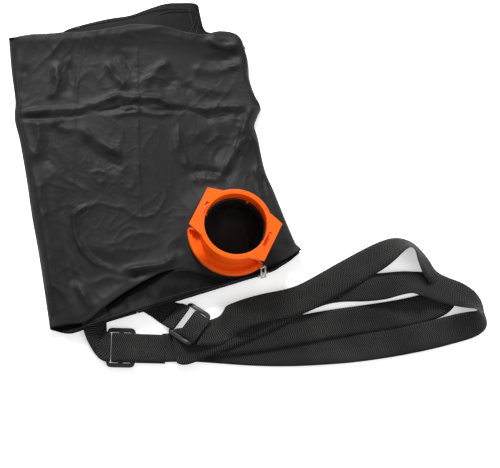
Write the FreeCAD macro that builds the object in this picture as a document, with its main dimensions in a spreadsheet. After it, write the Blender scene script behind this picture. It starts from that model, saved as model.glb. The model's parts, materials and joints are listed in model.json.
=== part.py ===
import FreeCAD, Part
import math
import os

import Sketcher
from FreeCAD import Placement, Rotation, Vector

# Collection bag of a leaf vacuum mulcher, lying flat on its back panel.
# +Z is up, the floor is z = 0, the inlet collar points straight up, and the
# origin is the middle of the bag's footprint (the loose shoulder strap apart).

doc = FreeCAD.newDocument("leaf_bag")
sheet = doc.addObject("Spreadsheet::Sheet", "Sizes")

SIZES = [
    ("fabric", 1.2),             # drawn thickness of one fabric panel
    ("bag_height", 18.5),        # top of the front panel where it lies flat
    ("binding_tall", 4.0),       # seam binding tape, drawn on edge inside the bag
    ("binding_thick", 0.8),
    ("binding_inset_back", 15.0),
    ("binding_inset_front", 4.0),
    ("collar_x", 109.0),
    ("collar_y", -83.0),
    ("collar_turn", -25.0),      # turn of the two ears about the collar axis
    ("bore_radius", 41.5),       # the blower outlet slides into this bore
    ("tube_radius", 45.0),
    ("rim_radius", 48.0),
    ("rim_top", 58.0),
    ("plate_thick", 5.0),
    ("ear_reach", 54.5),
    ("ear_half_length", 28.0),
    ("ear_neck", 34.0),
    ("window_near", 43.2),       # latch window, from the collar axis
    ("window_wide", 4.3),
    ("window_long", 21.0),
    ("window_deep", 7.0),
    ("foot_radius", 52.0),
    ("foot_thick", 2.3),
    ("skirt_radius", 60.6),
    ("skirt_sweep", 132.0),      # the skirt's angle about the collar axis
    ("skirt_rise", 6.5),
    ("skirt_ledge", 4.5),
    ("rib_thick", 2.4),
    ("rib_rise", 11.0),
    ("bore_long", 19.0),         # below this depth the bore widens to take the ring's sleeve
    ("recess_radius", 43.2),
    ("nub_reach", 40.2),         # nubs below the bore, standing in the sleeve's notches
    ("nub_wide", 3.0),
    ("nub_rise", 3.4),
    ("nub_count", 4.0),
    ("sleeve_radius", 39.5),     # bore of the retaining ring's sleeve
    ("sleeve_outer", 43.0),
    ("sleeve_top", 38.8),
    ("ring_radius", 56.0),
    ("ring_thick", 3.2),
    ("notch_wide", 3.8),
    ("notch_deep", 4.0),
    ("zip_left_x", -17.4),
    ("zip_left_y", -194.6),
    ("zip_right_x", 160.0),
    ("zip_right_y", -132.5),
    ("zip_middle", 8.7),         # height of the line where the two coils mesh
    ("tape_thick", 0.7),
    ("coil_tall", 2.5),
    ("coil_thick", 1.9),
    ("slider_gap", 0.35),        # play between the slider and the coils
    ("slider_long", 12.0),
    ("slider_tall", 8.6),
    ("slider_lug", 3.4),
    ("slider_wall", 1.0),
    ("slider_rest", 177.0),      # from the left end of the zip
    ("pull_long", 22.0),
    ("pull_wide", 8.0),
    ("pull_thick", 1.4),
    ("pull_pin", 0.8),
    ("pull_lean", -26.0),
    ("webbing_wide", 38.0),
    ("webbing", 1.3),
    ("bar_radius", 2.0),
    ("frame_thick", 3.0),
    ("frame_long", 37.0),
    ("frame_wide", 51.5),
    ("rail", 5.5),
    ("bar_wide", 6.0),
    ("frame_corner", 6.0),
    ("left_bar_x", -50.0),
    ("left_bar_y", -240.0),
    ("left_bar_z", 3.6),
    ("right_bar_x", 41.3),
    ("right_bar_y", -198.3),
    ("right_bar_z", 4.4),
    ("right_turn", -35.0),
    ("right_lean", -15.0),
    ("loop_gap", 0.2),
    ("left_end_long", 70.0),     # sewn strap end, measured from the tab bar
    ("right_end_long", 36.0),
    ("stitch", 0.6),
    ("cord_diameter", 3.0),
]
for row, (alias, value) in enumerate(SIZES, start=1):
    sheet.set("A%d" % row, alias)
    sheet.set("B%d" % row, str(value))
    sheet.setAlias("B%d" % row, alias)
doc.recompute()


def size(alias):
    return float(sheet.get(alias))


PARTS = []                       # every finished sub-part, in the order it is made


def finish(item, label):
    item.Label = label
    PARTS.append(item)
    return item


# ---------------------------------------------------------------- helpers

def new_body(label):
    return finish(doc.addObject("PartDesign::Body", label), label)


def new_sketch(body, role, lift="0", name="outline"):
    plane = [f for f in body.Origin.OriginFeatures if f.Role == role][0]
    sketch = body.newObject("Sketcher::SketchObject", body.Label + "_" + name)
    sketch.AttachmentSupport = [(plane, "")]
    sketch.MapMode = "FlatFace"
    sketch.setExpression(".AttachmentOffset.Base.z", lift)
    return sketch


def add_polygon(sketch, points):
    for i, start in enumerate(points):
        end = points[(i + 1) % len(points)]
        sketch.addGeometry(Part.LineSegment(Vector(*start, 0), Vector(*end, 0)), False)


def add_circle(sketch, radius):
    index = sketch.addGeometry(Part.Circle(Vector(0, 0, 0), Vector(0, 0, 1), size(radius)), False)
    sketch.addConstraint(Sketcher.Constraint("Coincident", index, 3, -1, 1))
    constraint = sketch.addConstraint(Sketcher.Constraint("Radius", index, size(radius)))
    sketch.setExpression("Constraints[%d]" % constraint, "Sizes." + radius)


def add_box_outline(sketch, x0, y0, x1, y1):
    add_polygon(sketch, [(x0, y0), (x1, y0), (x1, y1), (x0, y1)])


def add_rounded_box(sketch, x0, y0, x1, y1, radius):
    corners = [(x1, y0, 270), (x1, y1, 0), (x0, y1, 90), (x0, y0, 180)]
    ends = []
    for x, y, angle in corners:
        centre = Vector(x - radius if x == x1 else x + radius, y - radius if y == y1 else y + radius, 0)
        circle = Part.Circle(centre, Vector(0, 0, 1), radius)
        arc = Part.ArcOfCircle(circle, math.radians(angle), math.radians(angle + 90))
        sketch.addGeometry(arc, False)
        ends.append((arc.StartPoint, arc.EndPoint))
    for i in range(4):
        sketch.addGeometry(Part.LineSegment(ends[i][1], ends[(i + 1) % 4][0]), False)


def pad(body, sketch, length):
    feature = body.newObject("PartDesign::Pad", sketch.Name + "_pad")
    feature.Profile = sketch
    feature.setExpression("Length", length)
    doc.recompute()
    return feature


def pocket(body, sketch, length, upward=False):
    before = body.Shape.Volume
    feature = body.newObject("PartDesign::Pocket", sketch.Name + "_pocket")
    feature.Profile = sketch
    feature.Reversed = upward
    feature.setExpression("Length", length)
    doc.recompute()
    if not body.Shape.Volume < before - 0.01:
        raise RuntimeError("nothing was cut by " + feature.Name)
    return feature


def revolve(body, sketch, angle):
    feature = body.newObject("PartDesign::Revolution", sketch.Name + "_turn")
    feature.Profile = sketch
    feature.ReferenceAxis = (sketch, ["V_Axis"])
    feature.Angle = angle
    doc.recompute()
    return feature


def solid_feature(label, shape, placement=None):
    item = doc.addObject("Part::Feature", label)
    item.Shape = shape
    if placement:
        item.Placement = placement
    return finish(item, label)


def prism(points, low, high):
    wire = Part.makePolygon([Vector(x, y, low) for x, y in points + points[:1]])
    return Part.Face(wire).extrude(Vector(0, 0, high - low))


def inner_line(chain, distance):
    """The chain moved sideways to its right by distance, corners mitred."""
    normals = []
    for (x0, y0), (x1, y1) in zip(chain, chain[1:]):
        run = math.hypot(x1 - x0, y1 - y0)
        normals.append(((y1 - y0) / run, (x0 - x1) / run))
    moved = []
    for i, (x, y) in enumerate(chain):
        before = normals[max(i - 1, 0)]
        after = normals[min(i, len(normals) - 1)]
        scale = distance / (1 + before[0] * after[0] + before[1] * after[1])
        moved.append((x + (before[0] + after[0]) * scale, y + (before[1] + after[1]) * scale))
    return moved


def wall(low_chain, high_chain, low, high, thick):
    """A sheet on edge between two chains of equally many points."""
    sections = []
    for chain, level in ((low_chain, low), (high_chain, high)):
        ring = chain + inner_line(chain, thick)[::-1]
        sections.append(Part.makePolygon([Vector(x, y, level) for x, y in ring + ring[:1]]))
    return Part.makeLoft(sections, True, True)


# ---------------------------------------------------------------- bag outlines
# Each chain runs clockwise seen from above, so the inside is on its right.

LEFT_EDGE = [(-125, -218), (-146, -113), (-167, -14), (-190, 90), (-203, 189)]
BACK_TOP = [(-203, 189), (-141, 201), (-93, 224), (-37, 240), (12, 262), (57, 266), (70, 220), (105, 217),
            (128, 195)]
FRONT_TOP = [(-203, 189), (-141, 197), (-92, 204), (-37, 217), (-9, 220), (33, 216), (67, 209), (104, 213),
             (128, 195)]
RIGHT_EDGE = [(128, 195), (134, 151), (151, 109), (141, 80), (152, 36), (169, -18), (203, -102)]
ZIP_LEFT = (size("zip_left_x"), size("zip_left_y"))
ZIP_RIGHT = (size("zip_right_x"), size("zip_right_y"))
BACK_BOTTOM = [(203, -102), (178, -122), ZIP_RIGHT, ZIP_LEFT, (-60, -209), (-101, -223), (-125, -218)]
FRONT_BOTTOM = [(203, -102), (174, -118), (150, -132), (109, -146), (62, -152), (20, -141), (-25, -165),
                (-62, -193), (-81, -211), (-101, -221), (-125, -218)]

FABRIC = size("fabric")
TOP = size("bag_height")
CEILING = TOP - FABRIC           # underside of the front panel


def joined(*chains):
    points = []
    for chain in chains:
        points += [p for p in chain if not points or p != points[-1]]
    return points


def closed(*chains):
    points = joined(*chains)
    return points[:-1] if points[0] == points[-1] else points


def make_back_panel():
    body = new_body("back_panel")
    sketch = new_sketch(body, "XY_Plane")
    add_polygon(sketch, closed(LEFT_EDGE, BACK_TOP, RIGHT_EDGE, BACK_BOTTOM))
    pad(body, sketch, "Sizes.fabric")


def make_front_panel():
    """The upper fabric panel, with the hole that the collar is clamped in."""
    body = new_body("front_panel")
    sketch = new_sketch(body, "XY_Plane", "Sizes.bag_height - Sizes.fabric")
    add_polygon(sketch, closed(LEFT_EDGE, FRONT_TOP, RIGHT_EDGE, FRONT_BOTTOM))
    centre = Vector(size("collar_x"), size("collar_y"), 0)
    hole = sketch.addGeometry(Part.Circle(centre, Vector(0, 0, 1), size("tube_radius")), False)
    for kind, value, cell in (("DistanceX", centre.x, "collar_x"), ("DistanceY", centre.y, "collar_y")):
        index = sketch.addConstraint(Sketcher.Constraint(kind, -1, 1, hole, 3, value))
        sketch.setExpression("Constraints[%d]" % index, "Sizes." + cell)
    index = sketch.addConstraint(Sketcher.Constraint("Radius", hole, size("tube_radius")))
    sketch.setExpression("Constraints[%d]" % index, "Sizes.tube_radius")
    pad(body, sketch, "Sizes.fabric")


def make_side_gussets():
    """Narrow fabric sides that join the back panel to the front panel, butted at the corners."""
    left = wall(LEFT_EDGE, LEFT_EDGE, FABRIC, CEILING, FABRIC)
    right = wall(RIGHT_EDGE, RIGHT_EDGE, FABRIC, CEILING, FABRIC)
    top = wall(BACK_TOP, FRONT_TOP, FABRIC, CEILING, FABRIC).cut([left, right])
    solid_feature("gusset_left", left)
    solid_feature("gusset_right", right)
    solid_feature("gusset_top", top)
    return [left, right]


def make_bottom_gusset(sides):
    """The strip between the front panel's lower edge and the zip, with its two ends."""
    strip_top = CEILING
    strip_low = strip_top - FABRIC
    strip = prism(closed(FRONT_BOTTOM, BACK_BOTTOM[::-1]), strip_low, strip_top)
    right_end = wall(BACK_BOTTOM[:3], BACK_BOTTOM[:3], FABRIC, strip_low, FABRIC)
    left_end = wall(BACK_BOTTOM[3:], BACK_BOTTOM[3:], FABRIC, strip_low, FABRIC)
    solid_feature("gusset_bottom", strip.fuse([right_end, left_end]).cut(sides))


def make_bindings():
    """Tape folded over the raw seam edges, inside the bag."""
    tall = size("binding_tall")
    thick = size("binding_thick")
    for label, top_chain, inset, low in (
            ("seam_binding_back", BACK_TOP, "binding_inset_back", FABRIC),
            ("seam_binding_front", FRONT_TOP, "binding_inset_front", CEILING - tall)):
        chain = inner_line(joined(LEFT_EDGE, top_chain), size(inset))
        solid_feature(label, wall(chain, chain, low, low + tall, thick))


# ---------------------------------------------------------------- collar

def collar_place():
    turn = Rotation(Vector(0, 0, 1), size("collar_turn"))
    return Placement(Vector(size("collar_x"), size("collar_y"), 0), turn)


def make_collar():
    """Moulded inlet collar: ring, two ears with latch windows, half skirt and end ribs."""
    body = new_body("inlet_collar")
    reach = size("ear_reach")
    half = size("ear_half_length")
    neck = size("ear_neck")
    ears = new_sketch(body, "XY_Plane", "Sizes.rim_top - Sizes.plate_thick", "ears")
    add_polygon(ears, [(neck, neck), (reach, half), (reach, -half), (neck, -neck),
                       (-neck, -neck), (-reach, -half), (-reach, half), (-neck, neck)])
    pad(body, ears, "Sizes.plate_thick")
    rim = new_sketch(body, "XY_Plane", "Sizes.rim_top - Sizes.plate_thick", "rim")
    add_circle(rim, "rim_radius")
    pad(body, rim, "Sizes.plate_thick")
    tube = new_sketch(body, "XY_Plane", "Sizes.bag_height", "tube")
    add_circle(tube, "tube_radius")
    pad(body, tube, "Sizes.rim_top - Sizes.bag_height")
    foot = new_sketch(body, "XY_Plane", "Sizes.bag_height", "foot")
    add_circle(foot, "foot_radius")
    pad(body, foot, "Sizes.foot_thick")

    low = size("bag_height")
    outer = size("skirt_radius")
    inner = size("tube_radius") - 1
    high = low + size("skirt_rise")
    ledge = low + size("skirt_ledge")
    channel = low + size("foot_thick")
    skirt = new_sketch(body, "YZ_Plane", "0", "skirt")
    add_polygon(skirt, [(-inner, low), (-outer, low), (-outer, high - 2.5), (2 - outer, high),
                        (6 - outer, high), (7 - outer, ledge), (10 - outer, ledge),
                        (11 - outer, channel), (-inner, channel)])
    feature = revolve(body, skirt, size("skirt_sweep"))
    feature.Midplane = True
    doc.recompute()

    ribs = new_sketch(body, "XY_Plane", "Sizes.bag_height", "ribs")
    tube_radius = size("tube_radius")
    thick = size("rib_thick")
    for side in (-1, 1):
        end = math.radians(side * size("skirt_sweep") / 2)
        radial = (math.sin(end), -math.cos(end))
        inward = (-side * math.cos(end), -side * math.sin(end))
        corners = [(tube_radius - 1.5, 0), (outer - 1, 0), (outer - 1, thick), (tube_radius - 1.5, thick)]
        add_polygon(ribs, [(radial[0] * r + inward[0] * w, radial[1] * r + inward[1] * w)
                           for r, w in corners])
    pad(body, ribs, "Sizes.rib_rise")

    bore = new_sketch(body, "XY_Plane", "Sizes.rim_top", "bore")
    add_circle(bore, "bore_radius")
    pocket(body, bore, "Sizes.rim_top - Sizes.bag_height")
    recess = new_sketch(body, "XY_Plane", "Sizes.rim_top - Sizes.bore_long", "recess")
    add_circle(recess, "recess_radius")
    pocket(body, recess, "Sizes.rim_top - Sizes.bore_long - Sizes.bag_height")
    windows = new_sketch(body, "XY_Plane", "Sizes.rim_top", "windows")
    near = size("window_near")
    far = near + size("window_wide")
    reach_y = size("window_long") / 2
    for side in (-1, 1):
        add_box_outline(windows, side * near, -reach_y, side * far, reach_y)
    pocket(body, windows, "Sizes.window_deep")

    nub = new_sketch(body, "XY_Plane", "Sizes.sleeve_top - Sizes.nub_rise", "nub")
    half = size("nub_wide") / 2
    add_box_outline(nub, size("nub_reach"), -half, size("recess_radius") + 0.8, half)
    repeat_round(body, pad(body, nub, "Sizes.nub_rise"), skirt)
    body.Placement = collar_place()


def repeat_round(body, feature, sketch):
    """The feature copied evenly about the upright axis of the sketch."""
    pattern = body.newObject("PartDesign::PolarPattern", feature.Name + "_round")
    pattern.Originals = [feature]
    pattern.Axis = (sketch, ["V_Axis"])
    pattern.Angle = 360
    pattern.setExpression("Occurrences", "Sizes.nub_count")
    body.Tip = pattern
    doc.recompute()


def make_retaining_ring():
    """Ring inside the bag: its sleeve fills the collar's recess and its flange clamps the fabric."""
    body = new_body("retaining_ring")
    sleeve = size("sleeve_radius")
    outer = size("sleeve_outer")
    ring = size("ring_radius")
    top = size("sleeve_top")
    clamp = CEILING
    low = clamp - size("ring_thick")
    profile = new_sketch(body, "XZ_Plane", "0", "profile")
    add_polygon(profile, [(sleeve, low), (ring, low), (ring, clamp), (outer, clamp),
                          (outer, top - 1), (outer - 1, top), (sleeve, top)])
    revolve(body, profile, 360)
    notch = new_sketch(body, "XY_Plane", "Sizes.sleeve_top", "notch")
    half = size("notch_wide") / 2
    add_box_outline(notch, sleeve - 1, -half, outer + 1, half)
    repeat_round(body, pocket(body, notch, "Sizes.notch_deep"), profile)
    body.Placement = collar_place()


# ---------------------------------------------------------------- zip

ZIP_ANGLE = math.degrees(math.atan2(ZIP_RIGHT[1] - ZIP_LEFT[1], ZIP_RIGHT[0] - ZIP_LEFT[0]))
ZIP_LENGTH = math.hypot(ZIP_RIGHT[0] - ZIP_LEFT[0], ZIP_RIGHT[1] - ZIP_LEFT[1])


def zip_place(along=0.0, out=0.0, height=0.0):
    """Zip frame: X along the zip, -Y outward from the bag, Z up."""
    turn = Rotation(Vector(0, 0, 1), ZIP_ANGLE)
    corner = Vector(ZIP_LEFT[0], ZIP_LEFT[1], 0)
    return Placement(corner + turn.multVec(Vector(along, -out, height)), turn)


def add_box(label, sizes, placement):
    box = doc.addObject("Part::Box", label)
    for prop, formula in zip(("Length", "Width", "Height"), sizes):
        box.setExpression(prop, formula)
    box.Placement = placement
    return box


def make_zip():
    """Two tapes sewn to the bag, two coils that mesh, and the stops at both ends."""
    middle = size("zip_middle")
    coil = size("coil_tall")
    end = 1.5
    long = "hypot(Sizes.zip_right_x - Sizes.zip_left_x; Sizes.zip_right_y - Sizes.zip_left_y) - 3"
    for label, low, high in (("zip_tape_lower", "Sizes.fabric", "Sizes.zip_middle - 0.4"),
                             ("zip_tape_upper", "Sizes.zip_middle + 0.4",
                              "Sizes.bag_height - 2 * Sizes.fabric")):
        start = FABRIC if label.endswith("lower") else middle + 0.4
        box = add_box(label, (long, "Sizes.tape_thick", high + " - (" + low + ")"),
                      zip_place(end, 0, start))
        finish(box, label)
    for label, low in (("zip_coil_lower", middle - coil - 0.1), ("zip_coil_upper", middle + 0.1)):
        box = add_box(label, (long + " - 6", "Sizes.coil_thick", "Sizes.coil_tall"),
                      zip_place(end + 3, size("coil_thick"), low))
        finish(box, label)
    for label, along in (("zip_stop_left", end), ("zip_stop_right", ZIP_LENGTH - end - 3)):
        box = add_box(label, ("3", "Sizes.coil_thick + 0.6", "2 * Sizes.coil_tall + 1"),
                      zip_place(along, size("coil_thick") + 0.6, middle - coil - 0.5))
        finish(box, label)


def slider_front():
    """How far the slider's front face stands out from the tapes."""
    return size("coil_thick") + size("slider_gap") + 1.6 * size("slider_wall")


def make_slider():
    """Slider body: two cheeks round the coils, a front plate and a post for the pull."""
    long = size("slider_long")
    tall = size("slider_tall")
    cheek = size("slider_wall")
    lug_deep = size("slider_lug")
    face = slider_front()
    inner = size("coil_thick") + size("slider_gap")
    half = size("coil_tall") + 0.1 + size("slider_gap")
    shape = Part.makeBox(long, face - inner, tall, Vector(-long / 2, -face, -tall / 2))
    lug_low = Vector(-2.5, -face - lug_deep, tall / 2 - lug_deep)
    shape = shape.fuse(Part.makeBox(5, lug_deep + 0.2, lug_deep, lug_low))
    for low in (half, -half - cheek):
        shape = shape.fuse(Part.makeBox(long, inner - 0.3, cheek, Vector(-long / 2, -inner, low)))
    hole_start = Vector(-3.5, -face - lug_deep / 2, (tall - lug_deep) / 2)
    pin_hole = Part.makeCylinder(size("pull_pin") + 0.15, 7, hole_start, Vector(1, 0, 0))
    shape = shape.cut(pin_hole).removeSplitter()
    solid_feature("zip_slider", shape, zip_place(size("slider_rest"), 0, size("zip_middle")))


def make_pull():
    """Zip pull: a flat metal loop on a pin through the slider's post, leaning on the bag."""
    long = size("pull_long")
    wide = size("pull_wide")
    thick = size("pull_thick")
    pin = size("pull_pin")
    lug_half = 2.5
    outline = Part.makeBox(wide, thick, long - 4, Vector(-wide / 2, -thick / 2, 4))
    grip_hole = Part.makeBox(wide - 4.4, 3 * thick, long - 12, Vector(2.2 - wide / 2, -1.5 * thick, 9.5))
    plate = outline.cut(grip_hole)
    for x in (lug_half + 0.3, -lug_half - 1.5):
        plate = plate.fuse(Part.makeBox(1.2, thick, 5 + pin, Vector(x, -thick / 2, -pin)))
    shaft = Part.makeCylinder(pin, 2 * lug_half + 2.4, Vector(-lug_half - 1.2, 0, 0), Vector(1, 0, 0))
    shape = plate.fuse(shaft).removeSplitter()
    out = slider_front() + size("slider_lug") / 2
    height = size("zip_middle") + (size("slider_tall") - size("slider_lug")) / 2
    place = zip_place(size("slider_rest"), out, height)
    lean = Rotation(Vector(1, 0, 0), size("pull_lean"))
    solid_feature("zip_pull", shape, Placement(place.Base, place.Rotation.multiply(lean)))


# ---------------------------------------------------------------- buckles, tabs, strap ends
# Buckle frame: Y along the bars, X from the tab bar towards the strap, origin on the tab bar's axis.

def buckle_places():
    left = Placement(Vector(size("left_bar_x"), size("left_bar_y"), size("left_bar_z")), Rotation())
    turn = Rotation(Vector(0, 0, 1), size("right_turn"))
    lean = Rotation(Vector(0, 1, 0), size("right_lean"))
    spot = Vector(size("right_bar_x"), size("right_bar_y"), size("right_bar_z"))
    right_flat = Placement(spot, turn)
    return left, right_flat, Placement(spot, turn.multiply(lean))


def make_buckle(label, place):
    """Moulded buckle: two rails, two flat bars, and a round bar that the tab turns on."""
    body = new_body(label)
    thick = size("frame_thick")
    bar = size("bar_wide")
    rail = size("rail")
    near = -size("bar_radius")
    far = near + size("frame_long")
    half = size("frame_wide") / 2
    outer = new_sketch(body, "XY_Plane", "-Sizes.frame_thick / 2", "frame")
    add_rounded_box(outer, near, -half, far, half, size("frame_corner"))
    pad(body, outer, "Sizes.frame_thick")
    slots = new_sketch(body, "XY_Plane", "Sizes.frame_thick / 2", "slots")
    slot_half = half - rail
    centre = (near + far) / 2
    add_box_outline(slots, near - 1, -slot_half, centre - bar / 2, slot_half)
    add_box_outline(slots, centre + bar / 2, -slot_half, far - bar, slot_half)
    pocket(body, slots, "Sizes.frame_thick")
    rod = new_sketch(body, "XZ_Plane", "0", "tab_bar")
    add_circle(rod, "bar_radius")
    rod_pad = pad(body, rod, "Sizes.frame_wide - 2 * Sizes.rail + 2")
    rod_pad.Midplane = True
    doc.recompute()
    body.Placement = place


def loop_shape(inner, thick, wide):
    """Webbing turned once round a bar that lies along Y."""
    base = Vector(0, -wide / 2, 0)
    outside = Part.makeCylinder(inner + thick, wide, base, Vector(0, 1, 0))
    inside = Part.makeCylinder(inner, wide, base, Vector(0, 1, 0))
    return outside.cut(inside)


def tab_solid(points, loop, spot):
    """Flat webbing joined to the loop round the buckle's bar."""
    margin = 0.2
    low = spot.Base.z - size("bar_radius") - size("loop_gap") - size("webbing")
    flat = prism(points, low + margin, low + size("webbing") - margin)
    loop = loop.copy()
    loop.Placement = spot
    return flat.fuse(loop).removeSplitter()


def make_tabs(left, right):
    """Two short webbing tabs: each is sewn into the bag's bottom seam and holds a buckle."""
    wide = size("webbing_wide")
    thick = size("webbing")
    loop = loop_shape(size("bar_radius") + size("loop_gap"), thick, wide)
    x = left.Base.x
    y = left.Base.y
    foot = [(x - 30, y + 20), (x - 6, y + 20), (x, y + wide / 2), (x, y - wide / 2),
            (x - 13, y - 12), (x - 21, y + 8)]
    riser = Part.makeBox(24, thick, CEILING - 2, Vector(x - 30, y + 20 - thick, 0.4))
    tab = tab_solid(foot, loop, left).fuse(riser).removeSplitter()
    solid_feature("strap_tab_left", tab)

    ends = [right.Base + right.Rotation.multVec(Vector(0, side * wide / 2, 0)) for side in (-1, 1)]
    sewn = [zip_place(along, 0.05, 0).Base for along in (65, 31)]
    foot = [(p.x, p.y) for p in sewn + ends]
    solid_feature("strap_tab_right", tab_solid(foot, loop, right))


def strap_end_shape(long):
    """Strap turned back round the buckle's middle bar, then two layers flat together."""
    thick = size("webbing")
    wide = size("webbing_wide")
    middle = size("frame_long") / 2 - size("bar_radius")
    half_bar = size("bar_wide") / 2
    gap = size("frame_thick") / 2 + 0.4
    far_bar = size("frame_long") - size("bar_radius") + 1.5
    left = middle - half_bar - 0.4
    low = -gap - thick
    outer = [(left - thick, low), (long, low), (long, low + 2 * thick), (far_bar + 6, low + 2 * thick),
             (far_bar, -low), (left - thick, -low)]
    hollow = [(left, -gap), (far_bar + 2.0, -gap), (far_bar - 0.6, gap), (left, gap)]
    if long < far_bar + 6:
        outer = [(left - thick, low), (long, low), (long, -low), (left - thick, -low)]
        hollow = [(left, -gap), (long + 1, -gap), (long + 1, gap), (left, gap)]

    def slab(points):
        wire = Part.makePolygon([Vector(px, -wide / 2, pz) for px, pz in points + points[:1]])
        return Part.Face(wire).extrude(Vector(0, wide, 0))
    return slab(outer).cut(slab(hollow))


def make_strap_ends(left, right):
    solid_feature("strap_end_left", strap_end_shape(size("left_end_long")), left)
    solid_feature("strap_end_right", strap_end_shape(size("right_end_long")), right)


def make_stitching(left):
    """Box stitch through the doubled strap end, and bar tacks across the two tabs."""
    thread = size("stitch")
    top = -size("frame_thick") / 2 - 0.4 + size("webbing")
    near = size("frame_long") + 9
    bars = []
    for along in (near, near + 12):
        bars.append(Part.makeBox(thread, 30, thread, Vector(along, -15, top)))
    for across in (-15, 15 - thread):
        bars.append(Part.makeBox(12 + thread, thread, thread, Vector(near, across, top)))
    solid_feature("strap_end_stitching", bars[0].multiFuse(bars[1:]).removeSplitter(), left)


# ---------------------------------------------------------------- shoulder strap

# Route of the loose strap's centre line, from the sewn end at the left buckle.
STRAP_ROUTE = [
    (20.4, -238.3, 1.7), (55, -236.2, 1.7), (95, -238, 1.7), (138, -240.2, 1.7), (183, -240, 1.7),
    (228, -237, 1.7), (275, -232, 1.7), (326, -223.5, 1.7), (376, -212.5, 1.9), (413, -202, 4),
    (437, -196, 9), (450, -189.5, 14.5), (447.5, -179, 16.5), (441, -169, 13.5), (431, -160.5, 9.5),
    (416, -153.5, 7.6), (398, -148.5, 7.4), (377, -143, 9), (356, -140.5, 12), (337, -143, 11),
    (315, -147.5, 8.4), (288, -150.5, 7.4), (258, -151, 7.4), (230, -156.5, 7.4), (198, -171, 7.4),
    (165, -189.5, 7.4), (128, -208, 7.4), (94, -222.5, 7.4), (64, -236, 7.4), (46, -243.5, 7),
    (35, -241, 6.4), (35, -233, 5.6), (45, -230.7, 4.9), (62, -230, 4.7), (86, -228.8, 4.6),
    (118, -225.6, 4.6),
    (155, -219.5, 4.6), (200, -209.5, 4.6), (246, -199.5, 3.8), (296, -191, 2.4), (340, -182.5, 1.8),
    (370, -175, 1.7), (391, -168, 1.7), (402, -158, 2), (403, -145, 3), (396, -135.5, 5),
    (385, -129, 9.5), (376.5, -121, 14), (371, -110, 17.2), (365, -98.5, 18.6), (356.5, -90, 18),
    (346.5, -87.5, 16), (336, -90, 13.4), (324, -97, 10.8), (309, -106.5, 9), (288, -119, 8.8),
    (257, -137.5, 10.4), (228, -155.5, 10.8), (203, -169.5, 10.8), (181, -176.5, 10.8),
    (158, -181.5, 11.4), (136, -188.5, 13.4), (119, -195.5, 15.8), (109.5, -200, 14.2),
    (106.5, -204.5, 11), (102, -210, 8.8), (94, -214.5, 8.9), (83, -217.5, 11), (71.5, -219, 13.6),
]


def strap_wire(points):
    """Straight runs joined by tangent arcs, each arc as large as its two runs allow."""
    nodes = [Vector(*p) for p in points]
    edges = []
    start = nodes[0]
    smallest = 1e9
    for before, corner, after in zip(nodes, nodes[1:], nodes[2:]):
        way_in = (corner - before).normalize()
        way_out = (after - corner).normalize()
        turn = way_in.getAngle(way_out)
        reach = 0.45 * min((corner - before).Length, (after - corner).Length)
        radius = reach / math.tan(turn / 2)
        smallest = min(smallest, radius)
        arc_start = corner - way_in * reach
        arc_end = corner + way_out * reach
        bend = (way_out - way_in).normalize()
        middle = corner + bend * (radius / math.cos(turn / 2) - radius)
        edges.append(Part.LineSegment(start, arc_start).toShape())
        edges.append(Part.Arc(arc_start, middle, arc_end).toShape())
        start = arc_end
    edges.append(Part.LineSegment(start, nodes[-1]).toShape())
    print("strap: smallest bend radius %.1f mm" % smallest)
    return Part.Wire(edges)


def make_shoulder_strap():
    path = strap_wire(STRAP_ROUTE)
    radius = size("cord_diameter") / 2
    first = path.Edges[0]
    section = Part.Wire(Part.makeCircle(radius, first.valueAt(first.FirstParameter),
                                        first.tangentAt(first.FirstParameter)))
    tube = path.makePipeShell([section], True, True)
    expected = math.pi * radius ** 2 * path.Length
    print("strap: length %.1f mm, volume %.1f against %.1f mm3" % (path.Length, tube.Volume, expected))
    if abs(tube.Volume - expected) > 0.02 * expected:
        raise RuntimeError("the strap's tube does not match its path")
    solid_feature("shoulder_strap", tube)


# ---------------------------------------------------------------- assembly

def build():
    make_back_panel()
    make_front_panel()
    make_bottom_gusset(make_side_gussets())
    make_bindings()
    make_collar()
    make_retaining_ring()
    make_zip()
    make_slider()
    make_pull()
    left, right_flat, right = buckle_places()
    make_buckle("buckle_left", left)
    make_buckle("buckle_right", right)
    make_tabs(left, right_flat)
    make_strap_ends(left, right)
    make_stitching(left)
    make_shoulder_strap()


def check_and_write():
    doc.recompute()
    for item in doc.Objects:
        if "Invalid" in item.State or "Error" in item.State:
            raise RuntimeError("failed object: %s %s" % (item.Label, item.State))
    os.makedirs("parts", exist_ok=True)
    for item in PARTS:
        shape = item.Shape
        if shape.isNull() or not shape.isValid() or not shape.Solids:
            raise RuntimeError("bad shape: " + item.Label)
        shape.exportStep("parts/%s.step" % item.Label)
        box = shape.BoundBox
        print("%-22s solids %d  x %.1f..%.1f  y %.1f..%.1f  z %.1f..%.1f" % (
            item.Label, len(shape.Solids), box.XMin, box.XMax, box.YMin, box.YMax, box.ZMin, box.ZMax))


build()
check_and_write()
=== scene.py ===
import json
import math

import bmesh
import bpy
from mathutils import Matrix, Vector, noise


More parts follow.
